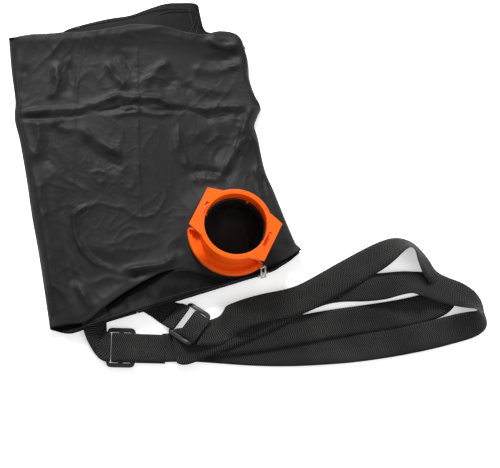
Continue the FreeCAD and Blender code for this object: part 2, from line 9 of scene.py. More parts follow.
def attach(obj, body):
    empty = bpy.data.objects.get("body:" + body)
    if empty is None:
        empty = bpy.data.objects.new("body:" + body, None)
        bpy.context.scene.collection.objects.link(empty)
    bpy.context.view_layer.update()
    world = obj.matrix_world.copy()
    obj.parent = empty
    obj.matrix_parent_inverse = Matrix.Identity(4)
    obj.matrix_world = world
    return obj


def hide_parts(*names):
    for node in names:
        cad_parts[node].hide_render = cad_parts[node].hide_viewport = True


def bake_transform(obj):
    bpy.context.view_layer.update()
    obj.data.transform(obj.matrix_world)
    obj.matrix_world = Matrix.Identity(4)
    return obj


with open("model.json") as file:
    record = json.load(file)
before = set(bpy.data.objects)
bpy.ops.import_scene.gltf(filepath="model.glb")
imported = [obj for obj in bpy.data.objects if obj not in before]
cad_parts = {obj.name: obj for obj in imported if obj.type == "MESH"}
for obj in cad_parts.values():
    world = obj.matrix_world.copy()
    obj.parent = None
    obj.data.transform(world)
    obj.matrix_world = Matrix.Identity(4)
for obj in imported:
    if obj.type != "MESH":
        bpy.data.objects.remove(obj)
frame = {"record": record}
noise.seed_set(1)                # noise vectors are seeded by the clock otherwise
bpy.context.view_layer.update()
MM = 0.001


# ---------------------------------------------------------------- helpers for every piece

def in_scene(name, data):
    """A new object in the scene that holds the data."""
    made = bpy.data.objects.new(name, data)
    bpy.context.scene.collection.objects.link(made)
    return made


def level_square(name, half):
    """A level square round the origin, given half its side in metres."""
    mesh = bpy.data.meshes.new(name)
    corners = [(-half, -half, 0), (half, -half, 0), (half, half, 0), (-half, half, 0)]
    mesh.from_pydata(corners, [], [(0, 1, 2, 3)])
    return in_scene(name, mesh)


def dress(piece, material, body, node):
    """Give the piece its material and the body it rides on (if one), and hide the CAD node it stands for."""
    piece.data.materials.append(material)
    if body:
        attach(piece, body)
    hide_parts(node)
    return piece


def applied(piece):
    """The piece with its modifiers made into plain mesh."""
    bpy.context.view_layer.update()
    evaluated = piece.evaluated_get(bpy.context.evaluated_depsgraph_get())
    mesh = bpy.data.meshes.new_from_object(evaluated)
    old = piece.data
    piece.modifiers.clear()
    piece.data = mesh
    bpy.data.meshes.remove(old)
    return piece


def smooth_step(x, low, high):
    t = min(max((x - low) / (high - low), 0.0), 1.0)
    return t * t * (3 - 2 * t)


# ---------------------------------------------------------------- camera, light and floor

def make_camera():
    """Camera of the photograph: high above the bag, looking down and slightly along +X."""
    right = Vector((0.99150, -0.00006, 0.13008))
    up = Vector((-0.03910, 0.95362, 0.29845))
    data = bpy.data.cameras.new("camera")
    data.lens = 80.0
    data.sensor_width = 36.0
    data.clip_end = 20.0
    camera = in_scene("camera", data)
    place = Matrix((right, up, right.cross(up))).transposed().to_4x4()
    place.translation = Vector((-0.05206, -0.53185, 1.42564))
    camera.matrix_world = place
    bpy.context.scene.camera = camera


def add_area_light(name, energy, size, place):
    """A round light that points at the middle of the bag."""
    target = Vector((0.05, -0.05, 0.0))
    data = bpy.data.lights.new(name, "AREA")
    data.energy = energy
    data.shape = "DISK"
    data.size = size
    light = in_scene(name, data)
    light.location = place
    light.rotation_mode = "QUATERNION"
    light.rotation_quaternion = (target - Vector(place)).to_track_quat("-Z", "Y")


def make_studio():
    world = bpy.data.worlds.new("studio")
    world.use_nodes = True
    background = world.node_tree.nodes["Background"]
    background.inputs["Color"].default_value = (1.0, 1.0, 1.0, 1.0)
    background.inputs["Strength"].default_value = 0.42
    bpy.context.scene.world = world
    bpy.context.scene.view_settings.view_transform = "Standard"
    add_area_light("key_light", 60.0, 0.50, (-0.40, 1.45, 1.10))
    add_area_light("fill_light", 9.0, 1.4, (1.1, -1.0, 1.3))
    floor = level_square("floor", 6.0)
    floor.location.z = -0.2 * MM
    floor.data.materials.append(floor_material())


# ---------------------------------------------------------------- materials

class Nodes:
    """Short names for building one node material."""

    def __init__(self, name):
        self.material = bpy.data.materials.new(name)
        self.material.use_nodes = True
        self.tree = self.material.node_tree
        self.shader = self.tree.nodes["Principled BSDF"]

    def add(self, kind, **settings):
        node = self.tree.nodes.new("ShaderNode" + kind)
        for key, value in settings.items():
            if key in node.inputs:
                node.inputs[key].default_value = value
            else:
                setattr(node, key, value)
        return node

    def link(self, source, target):
        self.tree.links.new(source, target)

    def into(self, name, source):
        """Link into the shader's input of that name."""
        self.link(source, self.shader.inputs[name])

    def math(self, operation, a, b=0.0):
        node = self.add("Math", operation=operation)
        for socket, value in zip(node.inputs, (a, b)):
            if isinstance(value, (int, float)):
                socket.default_value = value
            else:
                self.link(value, socket)
        return node.outputs[0]

    def wave(self, value, pitch):
        """A sine that repeats each pitch."""
        return self.math("SINE", self.math("MULTIPLY", value, 2 * math.pi / pitch))

    def noise(self, vector, scale, detail=3.0, roughness=0.55):
        node = self.add("TexNoise", Scale=scale, Detail=detail, Roughness=roughness)
        self.link(vector, node.inputs["Vector"])
        return node.outputs["Fac"]

    def remap(self, value, low, high, new_low, new_high):
        node = self.add("MapRange")
        self.link(value, node.inputs["Value"])
        limits = {"From Min": low, "From Max": high, "To Min": new_low, "To Max": new_high}
        for name, number in limits.items():
            node.inputs[name].default_value = number
        return node.outputs["Result"]

    def ramp(self, value, stops):
        node = self.add("ValToRGB")
        elements = node.color_ramp.elements
        while len(elements) < len(stops):
            elements.new(0.5)
        for element, (place, color) in zip(elements, stops):
            element.position = place
            element.color = (*color, 1.0)
        self.link(value, node.inputs["Fac"])
        return node.outputs["Color"]

    def bump(self, height, strength, distance, normal=None):
        node = self.add("Bump", Strength=strength, Distance=distance)
        self.link(height, node.inputs["Height"])
        if normal:
            self.link(normal, node.inputs["Normal"])
        return node.outputs["Normal"]

    def set(self, **values):
        for key, value in values.items():
            self.shader.inputs[key.replace("_", " ")].default_value = value

    def coordinates(self):
        return self.add("TexCoord").outputs["Object"]

    def uv_parts(self):
        uv = self.add("UVMap", uv_map="UVMap").outputs["UV"]
        parts = self.add("SeparateXYZ")
        self.link(uv, parts.inputs[0])
        return parts.outputs["X"], parts.outputs["Y"]


def floor_material():
    """White studio floor with a slight glow, so that it shows as white as the photograph's ground."""
    n = Nodes("floor")
    grain = n.noise(n.coordinates(), 6.0)
    n.into("Base Color", n.ramp(grain, [(0.0, (0.93, 0.93, 0.93)), (1.0, (0.96, 0.96, 0.96))]))
    n.set(Roughness=0.9, Specular_IOR_Level=0.1, Emission_Color=(1.0, 1.0, 1.0, 1.0), Emission_Strength=0.45)
    return n.material


def webbing_material():
    """Black woven webbing: slanted ribs that turn over in lanes, with fine threads along it; its colour is
    painted lighter on the rib crests and darker in the grooves, as painted highlight and shade.
    """
    rib_pitch, lane_wide, lane_slant, thread_pitch = 0.0026, 0.0095, 0.55, 0.0013
    n = Nodes("webbing")
    along, across = n.uv_parts()
    slant = n.math("MULTIPLY", n.math("PINGPONG", across, lane_wide), lane_slant)
    ribs = n.wave(n.math("ADD", along, slant), rib_pitch)
    height = n.math("ADD", ribs, n.math("MULTIPLY", n.wave(across, thread_pitch), 0.25))
    worn = n.noise(n.coordinates(), 14.0)
    # colour follows rib height: painted highlight on the crests and painted shade in the grooves; the noise
    # adds wear at random
    shade = n.math("ADD", n.remap(height, -1.2, 1.2, 0.0, 0.75), n.remap(worn, 0.3, 0.7, 0.0, 0.25))
    n.into("Base Color", n.ramp(shade, [(0.0, (0.0008, 0.0008, 0.0008)), (0.5, (0.007, 0.007, 0.0075)),
                                        (1.0, (0.086, 0.086, 0.083))]))
    n.into("Normal", n.bump(height, 1.0, 0.0007))
    n.set(Roughness=0.6, Sheen_Weight=0.03, Sheen_Roughness=0.4, Specular_IOR_Level=0.16)
    return n.material


def nylon_material(name, tone, shine):
    """Thin black nylon: fine plain weave, soft sheen and small crinkles; shine scales its sheen and gloss,
    and a tone below 1 darkens its colour as painted shade.
    """
    thread_pitch = 0.0009
    n = Nodes(name)
    along, across = n.uv_parts()
    where = n.coordinates()
    weave = n.math("MULTIPLY", n.wave(along, thread_pitch), n.wave(across, thread_pitch))
    crinkle = n.noise(where, 55.0, 4.0, 0.6)
    creases = n.add("TexNoise", Scale=20.0, Detail=2.0, noise_type="RIDGED_MULTIFRACTAL")
    n.link(where, creases.inputs["Vector"])
    patches = n.noise(where, 7.0)
    shade = n.math("ADD", n.remap(weave, -1, 1, 0.0, 0.25), n.remap(patches, 0.3, 0.7, 0.1, 0.65))
    # a tone below 1 scales these colours down: painted shade for the shaded copy of the nylon
    tones = [(0.0, 0.0078), (0.5, 0.0112), (1.0, 0.0160)]
    n.into("Base Color", n.ramp(shade, [(place, (level * tone,) * 3) for place, level in tones]))
    height = n.math("ADD", crinkle, n.math("MULTIPLY", weave, 0.03))
    soft = n.bump(n.remap(creases.outputs["Fac"], 0, 2, 0, 1), 0.05, 0.0014)
    n.into("Normal", n.bump(height, 0.14, 0.0009, soft))
    n.into("Roughness", n.remap(patches, 0.3, 0.7, 0.50, 0.62))
    n.set(Sheen_Weight=0.025 * shine, Sheen_Roughness=0.45, Specular_IOR_Level=0.13 * shine)
    return n.material


def tape_material():
    """Matt woven tape with a fine chevron."""
    chevron_wide, rib_pitch = 0.002, 0.0011
    n = Nodes("tape")
    along, across = n.uv_parts()
    rib = n.wave(n.math("ADD", along, n.math("PINGPONG", across, chevron_wide)), rib_pitch)
    stops = [(0.0, (0.004, 0.004, 0.004)), (1.0, (0.022, 0.022, 0.023))]
    n.into("Base Color", n.ramp(n.remap(rib, -1, 1, 0, 1), stops))
    n.into("Normal", n.bump(rib, 0.6, 0.0002))
    n.set(Roughness=0.75)
    return n.material


def plastic_material(name, dark, light, rough, grain, shine):
    """Moulded plastic: faint flow marks, fine grain, slightly worn gloss."""
    n = Nodes(name)
    where = n.coordinates()
    n.into("Base Color", n.ramp(n.noise(where, 22.0, 3.0), [(0.3, dark), (0.7, light)]))
    n.into("Normal", n.bump(n.noise(where, 900.0, 2.0), grain, 0.0003))
    n.into("Roughness", n.remap(n.noise(where, 60.0, 4.0), 0.3, 0.7, rough - 0.06, rough + 0.08))
    n.set(Specular_IOR_Level=shine)
    return n.material


def metal_material():
    """Bright plated metal with faint handling marks."""
    n = Nodes("zip_metal")
    where = n.coordinates()
    stops = [(0.3, (0.62, 0.62, 0.63)), (0.7, (0.86, 0.86, 0.87))]
    n.into("Base Color", n.ramp(n.noise(where, 120.0), stops))
    n.into("Roughness", n.remap(n.noise(where, 300.0, 4.0), 0.3, 0.7, 0.18, 0.36))
    n.into("Normal", n.bump(n.noise(where, 800.0), 0.08, 0.0002))
    n.set(Metallic=1.0)
    return n.material


def thread_material():
    """Black sewing thread."""
    n = Nodes("thread")
    where = n.coordinates()
    stops = [(0.3, (0.010, 0.010, 0.011)), (0.7, (0.034, 0.034, 0.036))]
    n.into("Base Color", n.ramp(n.noise(where, 700.0), stops))
    n.into("Normal", n.bump(n.noise(where, 1500.0), 0.5, 0.0002))
    n.set(Roughness=0.5)
    return n.material


# ---------------------------------------------------------------- bag fabric

# Outline of the two fabric panels seen from above, in millimetres. Each list runs between two corners.
LEFT_SIDE = [(-125, -218), (-135, -167), (-146, -113), (-157, -65), (-167, -14), (-179, 40), (-188, 72),
             (-189, 100), (-197, 145), (-203, 189)]
RIGHT_SIDE = [(203, -102), (193, -80), (182, -55), (169, -18), (159, 5), (154, 21), (150, 40), (146, 62),
              (141, 80), (146, 96), (150, 109), (142, 125), (134, 151), (132, 176), (127, 196)]
FRONT_FAR_EDGE = [(-203, 189), (-175, 195), (-140, 199), (-92, 205), (-60, 213), (-34, 219), (-9, 220),
                  (18, 217), (42, 212), (67, 210), (88, 216), (106, 215), (118, 209), (127, 196)]
BACK_FAR_EDGE = [(-203, 189), (-175, 197), (-141, 201), (-121, 213), (-93, 224), (-65, 233), (-37, 240),
                 (-12, 252), (12, 262), (33, 265), (57, 265), (62, 250), (69, 224), (84, 220), (105, 216),
                 (127, 196)]
FRONT_NEAR_EDGE = [(-125, -218), (-104, -213), (-81, -210), (-62, -194), (-44, -179), (-25, -165), (-3, -151),
                   (20, -139), (48, -135), (80, -144), (109, -147), (140, -138), (172, -121), (203, -102)]
BACK_NEAR_EDGE = [(-125, -218), (-101, -223), (-79, -216), (-60, -209), (-8, -191.3), (45, -172.8),
                  (100, -153.5), (160, -132.5), (178, -122), (191, -113), (203, -102)]
COLLAR = Vector((109.0, -83.0))
COLLAR_GRIP = 55.0               # the fabric is held level under the collar inside this radius
COLLAR_EASE = 34.0               # and falls back to its own shape over this distance
COLLAR_HOLE = 46.5
CLAMP_HEIGHT = 17.4

# Folds pressed or fallen into the front panel: points in mm, height in mm before FOLD_STRENGTH, half
# width in mm, and whether the crest is sharp (1) or round (0).
FOLD_STRENGTH = 1.6
FOLDS = [
    ([(-27, 215), (-25, 150), (-23, 89), (-20, 20), (-17, -27), (-11, -100)], 1.0, 2.2, 1),
    ([(-101, 198), (-106, 136), (-108, 69), (-106, -17), (-104, -64)], 0.7, 2.0, 1),
    ([(-189, 78), (-154, 82), (-108, 86), (-84, 92)], 2.6, 4.5, 0),
    ([(-187, 70), (-147, 73), (-112, 76), (-86, 84)], -2.6, 3.4, 1),
    ([(-108, 94), (-80, 97), (-50, 110), (-27, 108), (2, 109), (22, 102), (49, 103)], 3.6, 5.0, 0),
    ([(-92, 84), (-62, 90), (-38, 98), (-12, 98)], -3.2, 4.0, 1),
    ([(-70, 78), (-44, 84), (-20, 88), (10, 86), (34, 92)], 1.8, 4.0, 0),
    ([(-8, 92), (20, 93), (46, 96), (66, 90)], -2.8, 3.4, 1),
    ([(-52, 100), (-40, 92), (-28, 96), (-16, 90)], 1.8, 2.8, 1),
    ([(49, 102), (70, 96), (91, 103), (112, 104), (141, 98)], 2.6, 7.0, 0),
    ([(55, 94), (75, 86), (112, 92)], -2.2, 7.0, 0),
    ([(-160, 71), (-154, 45), (-163, 1)], 3.2, 9.0, 0),
    ([(-140, 66), (-136, 40), (-146, -6)], -3.2, 9.0, 0),
    ([(-133, 74), (-126, 61), (-106, 52)], 2.6, 7.0, 0),
    ([(-106, 66), (-78, 42), (-31, 18)], 3.0, 8.0, 0),
    ([(-98, 44), (-72, 22), (-38, 2)], -3.2, 10.0, 0),
    ([(36, 77), (33, 36), (51, 2)], 2.4, 7.0, 0),
    ([(51, 4), (71, 8), (94, 4)], -3.0, 5.5, 1),
    ([(48, -8), (71, -6), (98, -8)], 2.6, 8.0, 0),
    ([(94, 4), (112, 30), (132, 66)], 3.4, 9.0, 0),
    ([(60, 60), (78, 40), (96, 30)], -3.0, 14.0, 0),
    ([(-157, 10), (-147, -47), (-134, -119), (-119, -205)], 3.2, 9.0, 0),
    ([(-122, -20), (-114, -80), (-104, -130), (-88, -198)], -3.4, 9.0, 0),
    ([(-100, -150), (-86, -175), (-70, -196)], 3.0, 8.0, 0),
    ([(-68, -48), (-88, -52), (-103, -64), (-99, -94), (-88, -114), (-71, -130), (-38, -141)], 2.2, 3.4, 1),
    ([(-96, -66), (-92, -92), (-80, -112), (-62, -124), (-34, -132)], -1.6, 6.0, 0),
    ([(-40, -139), (-13, -135), (20, -132), (36, -118)], 4.5, 5.5, 0),
    ([(-30, -146), (0, -147), (24, -143)], -4.5, 5.0, 0),
    ([(38, -116), (48, -90), (46, -60)], -2.6, 9.0, 0),
    ([(-20, 116), (0, 151), (23, 167)], 2.8, 7.0, 0),
    ([(4, 122), (30, 140), (60, 124)], -3.2, 9.0, 0),
    ([(23, 148), (63, 128), (108, 122)], 2.8, 7.0, 0),
    ([(69, 205), (92, 190), (119, 196)], 2.6, 7.0, 0),
    ([(48, 158), (83, 155), (126, 169)], 2.4, 6.0, 0),
    ([(64, 172), (92, 174), (124, 184)], -2.2, 6.0, 0),
    ([(-178, 150), (-181, 100)], -2.6, 8.0, 0),
    ([(-140, 160), (-133, 122), (-143, 96)], 3.0, 7.0, 0),
    ([(-122, 158), (-116, 130), (-124, 104)], -3.0, 8.0, 0),
    ([(-70, 161), (-55, 139), (-34, 118)], 3.0, 7.0, 0),
    ([(-60, 180), (-40, 165), (-30, 140)], -2.4, 8.0, 0),
    ([(144, 106), (128, 86), (119, 52)], 3.2, 6.5, 0),
    ([(149, 7), (152, -19), (160, -44)], -2.4, 4.5, 1),
    ([(160, -44), (172, -74), (184, -96)], 2.4, 6.0, 0),
    ([(139, 20), (146, -10), (154, -40)], 2.2, 6.0, 0),
    ([(120, 40), (108, 14), (98, -16)], -2.4, 8.0, 0),
]

FRONT_COLUMNS = 160              # points of the front panel's grid
FRONT_ROWS = 180
CLOTH_THICK = 0.5 * MM

# How the front panel settles: a stiff, thin cloth, run for a few steps.
SETTLE_FRAMES = 16
CLOTH_GROWTH = 0.006             # the cloth is this much larger than the shape it is laid in
SETTLE_SHARE = 0.45              # how much of the simulated movement is kept
THIN_NYLON = {
    "quality": 7, "mass": 0.08, "tension_stiffness": 30.0, "compression_stiffness": 30.0,
    "shear_stiffness": 12.0, "bending_stiffness": 0.8, "tension_damping": 8.0,
    "compression_damping": 8.0, "bending_damping": 0.3, "air_damping": 2.0,
}


def even_points(points, count):
    """The given number of points, evenly spaced along a path."""
    reached = distances_along(points)
    spaced = []
    k = 0
    for i in range(count):
        goal = reached[-1] * i / (count - 1)
        while k < len(points) - 2 and reached[k + 1] < goal:
            k += 1
        t = (goal - reached[k]) / max(reached[k + 1] - reached[k], 1e-9)
        spaced.append(points[k].lerp(points[k + 1], min(max(t, 0.0), 1.0)))
    return spaced


def distances_along(points):
    """How far along the path each of its points lies."""
    reached = [0.0]
    for a, b in zip(points, points[1:]):
        reached.append(reached[-1] + (b - a).length)
    return reached


def smooth_chain(points, count):
    """Points evenly spaced along a smooth curve through the given ones."""
    nodes = [Vector(p) for p in points]
    dense = []
    pieces = 10
    for i in range(len(nodes) - 1):
        a, b = nodes[i], nodes[i + 1]
        leave = (b - nodes[max(i - 1, 0)]) * 0.5
        arrive = (nodes[min(i + 2, len(nodes) - 1)] - a) * 0.5
        for step in range(pieces):
            t = step / pieces
            from_a, from_b = 2 * t ** 3 - 3 * t ** 2 + 1, -2 * t ** 3 + 3 * t ** 2
            from_leave, from_arrive = t ** 3 - 2 * t ** 2 + t, t ** 3 - t ** 2
            dense.append(a * from_a + b * from_b + leave * from_leave + arrive * from_arrive)
    dense.append(nodes[-1])
    return even_points(dense, count)


def coons(near, far, left, right):
    """Grid of points filling four joined edges; near and far run along u, left and right along v."""
    columns, rows = len(near), len(left)
    grid = []
    for j in range(rows):
        v = j / (rows - 1)
        row = []
        for i in range(columns):
            u = i / (columns - 1)
            ruled = near[i] * (1 - v) + far[i] * v + left[j] * (1 - u) + right[j] * u
            corners = (near[0] * (1 - u) + near[-1] * u) * (1 - v) + (far[0] * (1 - u) + far[-1] * u) * v
            row.append(ruled - corners)
        grid.append(row)
    return grid


def from_collar(x, y):
    """Distance from the collar's axis."""
    return math.hypot(x - COLLAR.x, y - COLLAR.y)


def reach_to(path, x, y):
    """Distance from a point to a path, and how far along the path it is nearest, 0 to 1."""
    best, along = 1e9, 0.0
    count = len(path) - 1
    for i in range(count):
        ax, ay = path[i]
        bx, by = path[i + 1]
        dx, dy = bx - ax, by - ay
        t = min(max(((x - ax) * dx + (y - ay) * dy) / (dx * dx + dy * dy), 0.0), 1.0)
        gap = math.hypot(x - ax - dx * t, y - ay - dy * t)
        if gap < best:
            best, along = gap, (i + t) / count
    return best, along


def fold_height(x, y):
    """Height that the listed folds add, each wandering a little and dying out at its ends."""
    total = 0.0
    wander = noise.noise(Vector((x * 0.022, y * 0.022, 4.0))) * 5.0
    for path, high, half_width, sharp in FOLDS:
        gap, along = reach_to(path, x, y)
        if gap > half_width * 3.2:
            continue
        taper = smooth_step(along, -0.02, 0.22) * smooth_step(1 - along, -0.02, 0.22)
        wobble = 1.0 + 0.35 * noise.noise(Vector((x * 0.05, y * 0.05, half_width)))
        if sharp:
            crest = max(0.0, 1 - gap / (half_width * 1.6)) ** 1.3
        else:
            crest = math.exp(-((gap + wander * 0.12) / half_width) ** 2)
        total += FOLD_STRENGTH * high * crest * taper * wobble
    return total


def wrinkles(x, y):
    """Small soft creases that run in all directions, more in some places than in others, as a noise field
    sets.
    """
    warp = noise.noise_vector(Vector((x * 0.012, y * 0.012, 1.5))) * 26.0
    px, py = x + warp.x, y + warp.y
    broad = noise.noise(Vector((px * 0.013, py * 0.010, 7.0))) * 3.4
    ridge_a = 1 - abs(noise.noise(Vector((px * 0.024, py * 0.020, 3.0)))) * 3.2
    ridge_b = 1 - abs(noise.noise(Vector((px * 0.045, py * 0.038, 9.0)))) * 3.4
    amount = 0.55 + 0.75 * smooth_step(noise.noise(Vector((x * 0.009, y * 0.009, 2.0))), -0.3, 0.5)
    return broad + amount * (max(ridge_a, 0) ** 3 * 1.6 + max(ridge_b, 0) ** 3 * 0.7)


# Each height function gets a place in mm and its share of the way across the sheet, u from the left and
# v from the near edge (or from the back panel's hem), and gives the height above the floor in mm.

def front_height(x, y, u, v):
    """The front panel: a thin cushion that closes at its sides and is clamped level by the collar."""
    body = 12.5 + 1.6 * math.sin(math.pi * u) + fold_height(x, y) + wrinkles(x, y)
    body += 3.0 * smooth_step(y, 120, 210) * smooth_step(u, 0.25, 0.5)
    side_left = 1 - (1 - min(u / 0.10, 1.0)) ** 2
    side_right = 1 - (1 - min((1 - u) / 0.075, 1.0)) ** 2
    side = math.sqrt(max(side_left, 0.0)) * math.sqrt(max(side_right, 0.0))
    body = 1.6 + (body - 1.6) * side
    hold = 1 - smooth_step(from_collar(x, y), COLLAR_GRIP, COLLAR_GRIP + COLLAR_EASE)
    height = max(body * (1 - hold) + CLAMP_HEIGHT * hold, 1.4)
    return lift_near_edge(x, v, height)


def lift_near_edge(x, v, height):
    """The near edge stands open on the left and runs into the bottom strip on the right."""
    near = 1 - smooth_step(v, 0.0, 0.05)
    open_part = 1 - smooth_step(x, 0, 40)
    corner = smooth_step(x, -118, -60)
    edge_height = 9.5 + 5.5 * corner * open_part + 4.5 * (1 - open_part)
    return height * (1 - near) + edge_height * near


def back_height(x, y, u, v):
    """The back panel lies flat on the floor, and is rumpled where it shows inside the collar."""
    rumpled = 1 - smooth_step(from_collar(x, y), 25, 60)
    ridge = 1 - abs(noise.noise(Vector((x * 0.030, y * 0.018, 8.0)))) * 3.0
    flat = 0.9 + 0.5 * abs(noise.noise(Vector((x * 0.02, y * 0.02, 3.0))))
    return flat + 5.5 * rumpled * max(ridge, 0.0) ** 2


def far_gusset_height(x, y, u, v):
    """The far gusset: from the back panel's hem up to just under the front panel's edge."""
    start, end = 2.2, 9.5
    sag = -1.2 * math.sin(math.pi * v)
    hem = 1.3 * math.exp(-((v - 0.18) / 0.05) ** 2)
    ripple = noise.noise(Vector((x * 0.03, y * 0.05, 2.0))) * 1.2 * v
    return start + (end - start) * v + sag + hem + ripple


def near_gusset_height(x, y, u, v):
    """The near gusset: from the zip's upper edge to under the front panel's near edge."""
    start = 16.6
    end = 9.0 + 8.0 * smooth_step(x, 0, 60)
    ends = smooth_step(u, 0.0, 0.16) * smooth_step(1 - u, 0.0, 0.12)
    sag = -2.2 * math.sin(math.pi * v)
    ripple = noise.noise(Vector((x * 0.03, y * 0.04, 6.0))) * 2.6 * math.sin(math.pi * v)
    tucks = (1 - abs(noise.noise(Vector((x * 0.045, y * 0.02, 1.0)))) * 3.0) * 1.5 * math.sin(math.pi * v)
    body = start * (1 - v) + end * v + sag + ripple + max(tucks, 0.0)
    return 2.0 + (body - 2.0) * max(ends, 0.12)


def raised(flat, height_at):
    """The flat grid with its heights."""
    rows, columns = len(flat), len(flat[0])
    grid = []
    for j, row in enumerate(flat):
        v = j / (rows - 1)
        line = []
        for i, point in enumerate(row):
            height = height_at(point.x, point.y, i / (columns - 1), v)
            line.append(Vector((point.x, point.y, height)))
        grid.append(line)
    return grid


def strip_grid(low_edge, high_edge, height_at, columns=120, rows=16):
    """Grid between two edges that run the same way."""
    low = smooth_chain(low_edge, columns)
    high = smooth_chain(high_edge, columns)
    flat = [[a.lerp(b, j / (rows - 1)) for a, b in zip(low, high)] for j in range(rows)]
    return raised(flat, height_at)


def grid_mesh(name, grid, hole=0.0):
    """A cloth mesh from rows of 3-D points in mm, with a UV map in metres and a hole for the collar."""
    build = bmesh.new()
    layer = build.loops.layers.uv.new("UVMap")
    rows, columns = len(grid), len(grid[0])
    verts = {}

    def vert(j, i):
        if (j, i) not in verts:
            verts[j, i] = build.verts.new(grid[j][i] * MM)
        return verts[j, i]

    along_u = distances_along(grid[rows // 2])
    along_v = distances_along([row[columns // 2] for row in grid])
    for j in range(rows - 1):
        for i in range(columns - 1):
            middle = (grid[j][i] + grid[j + 1][i + 1]) / 2
            if from_collar(middle.x, middle.y) < hole:
                continue
            face = build.faces.new((vert(j, i), vert(j, i + 1), vert(j + 1, i + 1), vert(j + 1, i)))
            face.smooth = True
            spots = ((i, j), (i + 1, j), (i + 1, j + 1), (i, j + 1))
            for loop, (a, b) in zip(face.loops, spots):
                loop[layer].uv = (along_u[a] * MM, along_v[b] * MM)
    return finished_mesh(name, build)


def finished_mesh(name, build):
    mesh = bpy.data.meshes.new(name)
    build.to_mesh(mesh)
    build.free()
    return in_scene(name, mesh)


def thicken(cloth, thick):
    shell = cloth.modifiers.new("thickness", "SOLIDIFY")
    shell.thickness = thick
    shell.offset = -1.0


def cloth_piece(name, grid, material, node, thick=CLOTH_THICK):
    cloth = grid_mesh(name, grid)
    thicken(cloth, thick)
    return dress(cloth, material, "bag", node)


def declare_sheet(cloth, grid, hole=0.0):
    """Work out the piece's area from its grid, less the collar hole; the result is not kept."""
    area = -math.pi * hole ** 2
    for near, far in zip(grid, grid[1:]):
        for a, b, c, d in zip(near, near[1:], far[1:], far):
            area += (c - a).cross(d - b).length / 2


def settle(cloth, looseness, ground_height):
    """Let the cloth buckle and sag into small creases, then keep part of that movement in its mesh."""
    pressed = [vert.co.copy() for vert in cloth.data.vertices]
    held = cloth.vertex_groups.new(name="held")
    for vert in cloth.data.vertices:
        held.add([vert.index], 1.0 - looseness(vert.co / MM), "REPLACE")
    ground = level_square("ground", 0.5)
    ground.location.z = ground_height * MM
    ground.modifiers.new("collision", "COLLISION")
    ground.collision.thickness_outer = 1.0 * MM
    ground.collision.cloth_friction = 20.0

    drape = cloth.modifiers.new("drape", "CLOTH")
    for name, value in THIN_NYLON.items():
        setattr(drape.settings, name, value)
    drape.settings.vertex_group_mass = "held"
    drape.settings.shrink_min = -CLOTH_GROWTH
    drape.collision_settings.distance_min = 1.0 * MM
    drape.point_cache.frame_start = 1
    drape.point_cache.frame_end = SETTLE_FRAMES
    scene = bpy.context.scene
    scene.frame_start, scene.frame_end = 1, SETTLE_FRAMES
    for number in range(1, SETTLE_FRAMES + 1):
        scene.frame_set(number)
    applied(cloth)
    for vert, before in zip(cloth.data.vertices, pressed):
        vert.co = before.lerp(vert.co, SETTLE_SHARE)
    cloth.vertex_groups.clear()
    ground_mesh = ground.data
    bpy.data.objects.remove(ground)
    bpy.data.meshes.remove(ground_mesh)
    scene.frame_set(1)


def make_front_panel(material):
    """The upper panel, held along its edges and under the collar, and settled in between."""
    near = smooth_chain(FRONT_NEAR_EDGE, FRONT_COLUMNS)
    far = smooth_chain(FRONT_FAR_EDGE, FRONT_COLUMNS)
    left = smooth_chain(LEFT_SIDE, FRONT_ROWS)
    right = smooth_chain(RIGHT_SIDE, FRONT_ROWS)
    grid = raised(coons(near, far, left, right), front_height)
    outline = near + right[1:] + far[::-1][1:] + left[::-1][1:]
    border = [(p.x, p.y) for p in outline[::6]]

    def looseness(point):
        inside, _ = reach_to(border, point.x, point.y)
        beside_collar = smooth_step(from_collar(point.x, point.y), COLLAR_GRIP, COLLAR_GRIP + 14)
        return beside_collar * smooth_step(inside, 3.0, 16.0)

    cloth = grid_mesh("front_cloth", grid, COLLAR_HOLE)
    settle(cloth, looseness, 3.0)
    thicken(cloth, CLOTH_THICK)
    declare_sheet(cloth, grid, COLLAR_HOLE)
    dress(cloth, material, "bag", "front_panel")


def make_back_panel(material):
    count = 110
    edges = [smooth_chain(edge, count) for edge in (BACK_NEAR_EDGE, BACK_FAR_EDGE, LEFT_SIDE, RIGHT_SIDE)]
    grid = raised(coons(*edges), back_height)
    declare_sheet(cloth_piece("back_cloth", grid, material, "back_panel"), grid)


def make_gussets(material, thread):
    """The far and near gussets with their rows of stitches."""
    far = strip_grid(BACK_FAR_EDGE, FRONT_FAR_EDGE, far_gusset_height)
    declare_sheet(cloth_piece("far_gusset_cloth", far, material, "gusset_top"), far)
    near = strip_grid(BACK_NEAR_EDGE, FRONT_NEAR_EDGE, near_gusset_height)
    cloth = cloth_piece("near_gusset_cloth", near, material, "gusset_bottom")
    declare_sheet(cloth, near)

    def seam(points):
        return stitch_run([p * MM for p in points], 3.2 * MM, 0.5 * MM)

    sewn = seam(far[3][26:88])
    for column in (88, 91):
        sewn += seam([row[column] for row in far[1:-1]])
    stitches("far_gusset_stitches", sewn, thread, "gusset_top", length=2.4 * MM, radius=0.24 * MM)
    tack_at = far[3][30] * MM
    tack = [(tack_at + Vector((0.0009 * k, -0.002, 0.0006)), tack_at + Vector((0.0009 * k, 0.003, 0.0006)))
            for k in range(7)]
    stitches("far_gusset_bar_tack", tack, thread, "gusset_top", length=4.0 * MM, radius=0.40 * MM)
    stitches("near_gusset_stitches", seam(near[2][8:-8]), thread, "gusset_bottom", length=2.4 * MM,
             radius=0.24 * MM)


def inset_chain(chain, distance):
    """The chain moved sideways, to its right, by a distance in mm."""
    moved = []
    for i, point in enumerate(chain):
        way = (chain[min(i + 1, len(chain) - 1)] - chain[max(i - 1, 0)]).normalized()
        moved.append(point + Vector((way.y, -way.x)) * distance)
    return moved


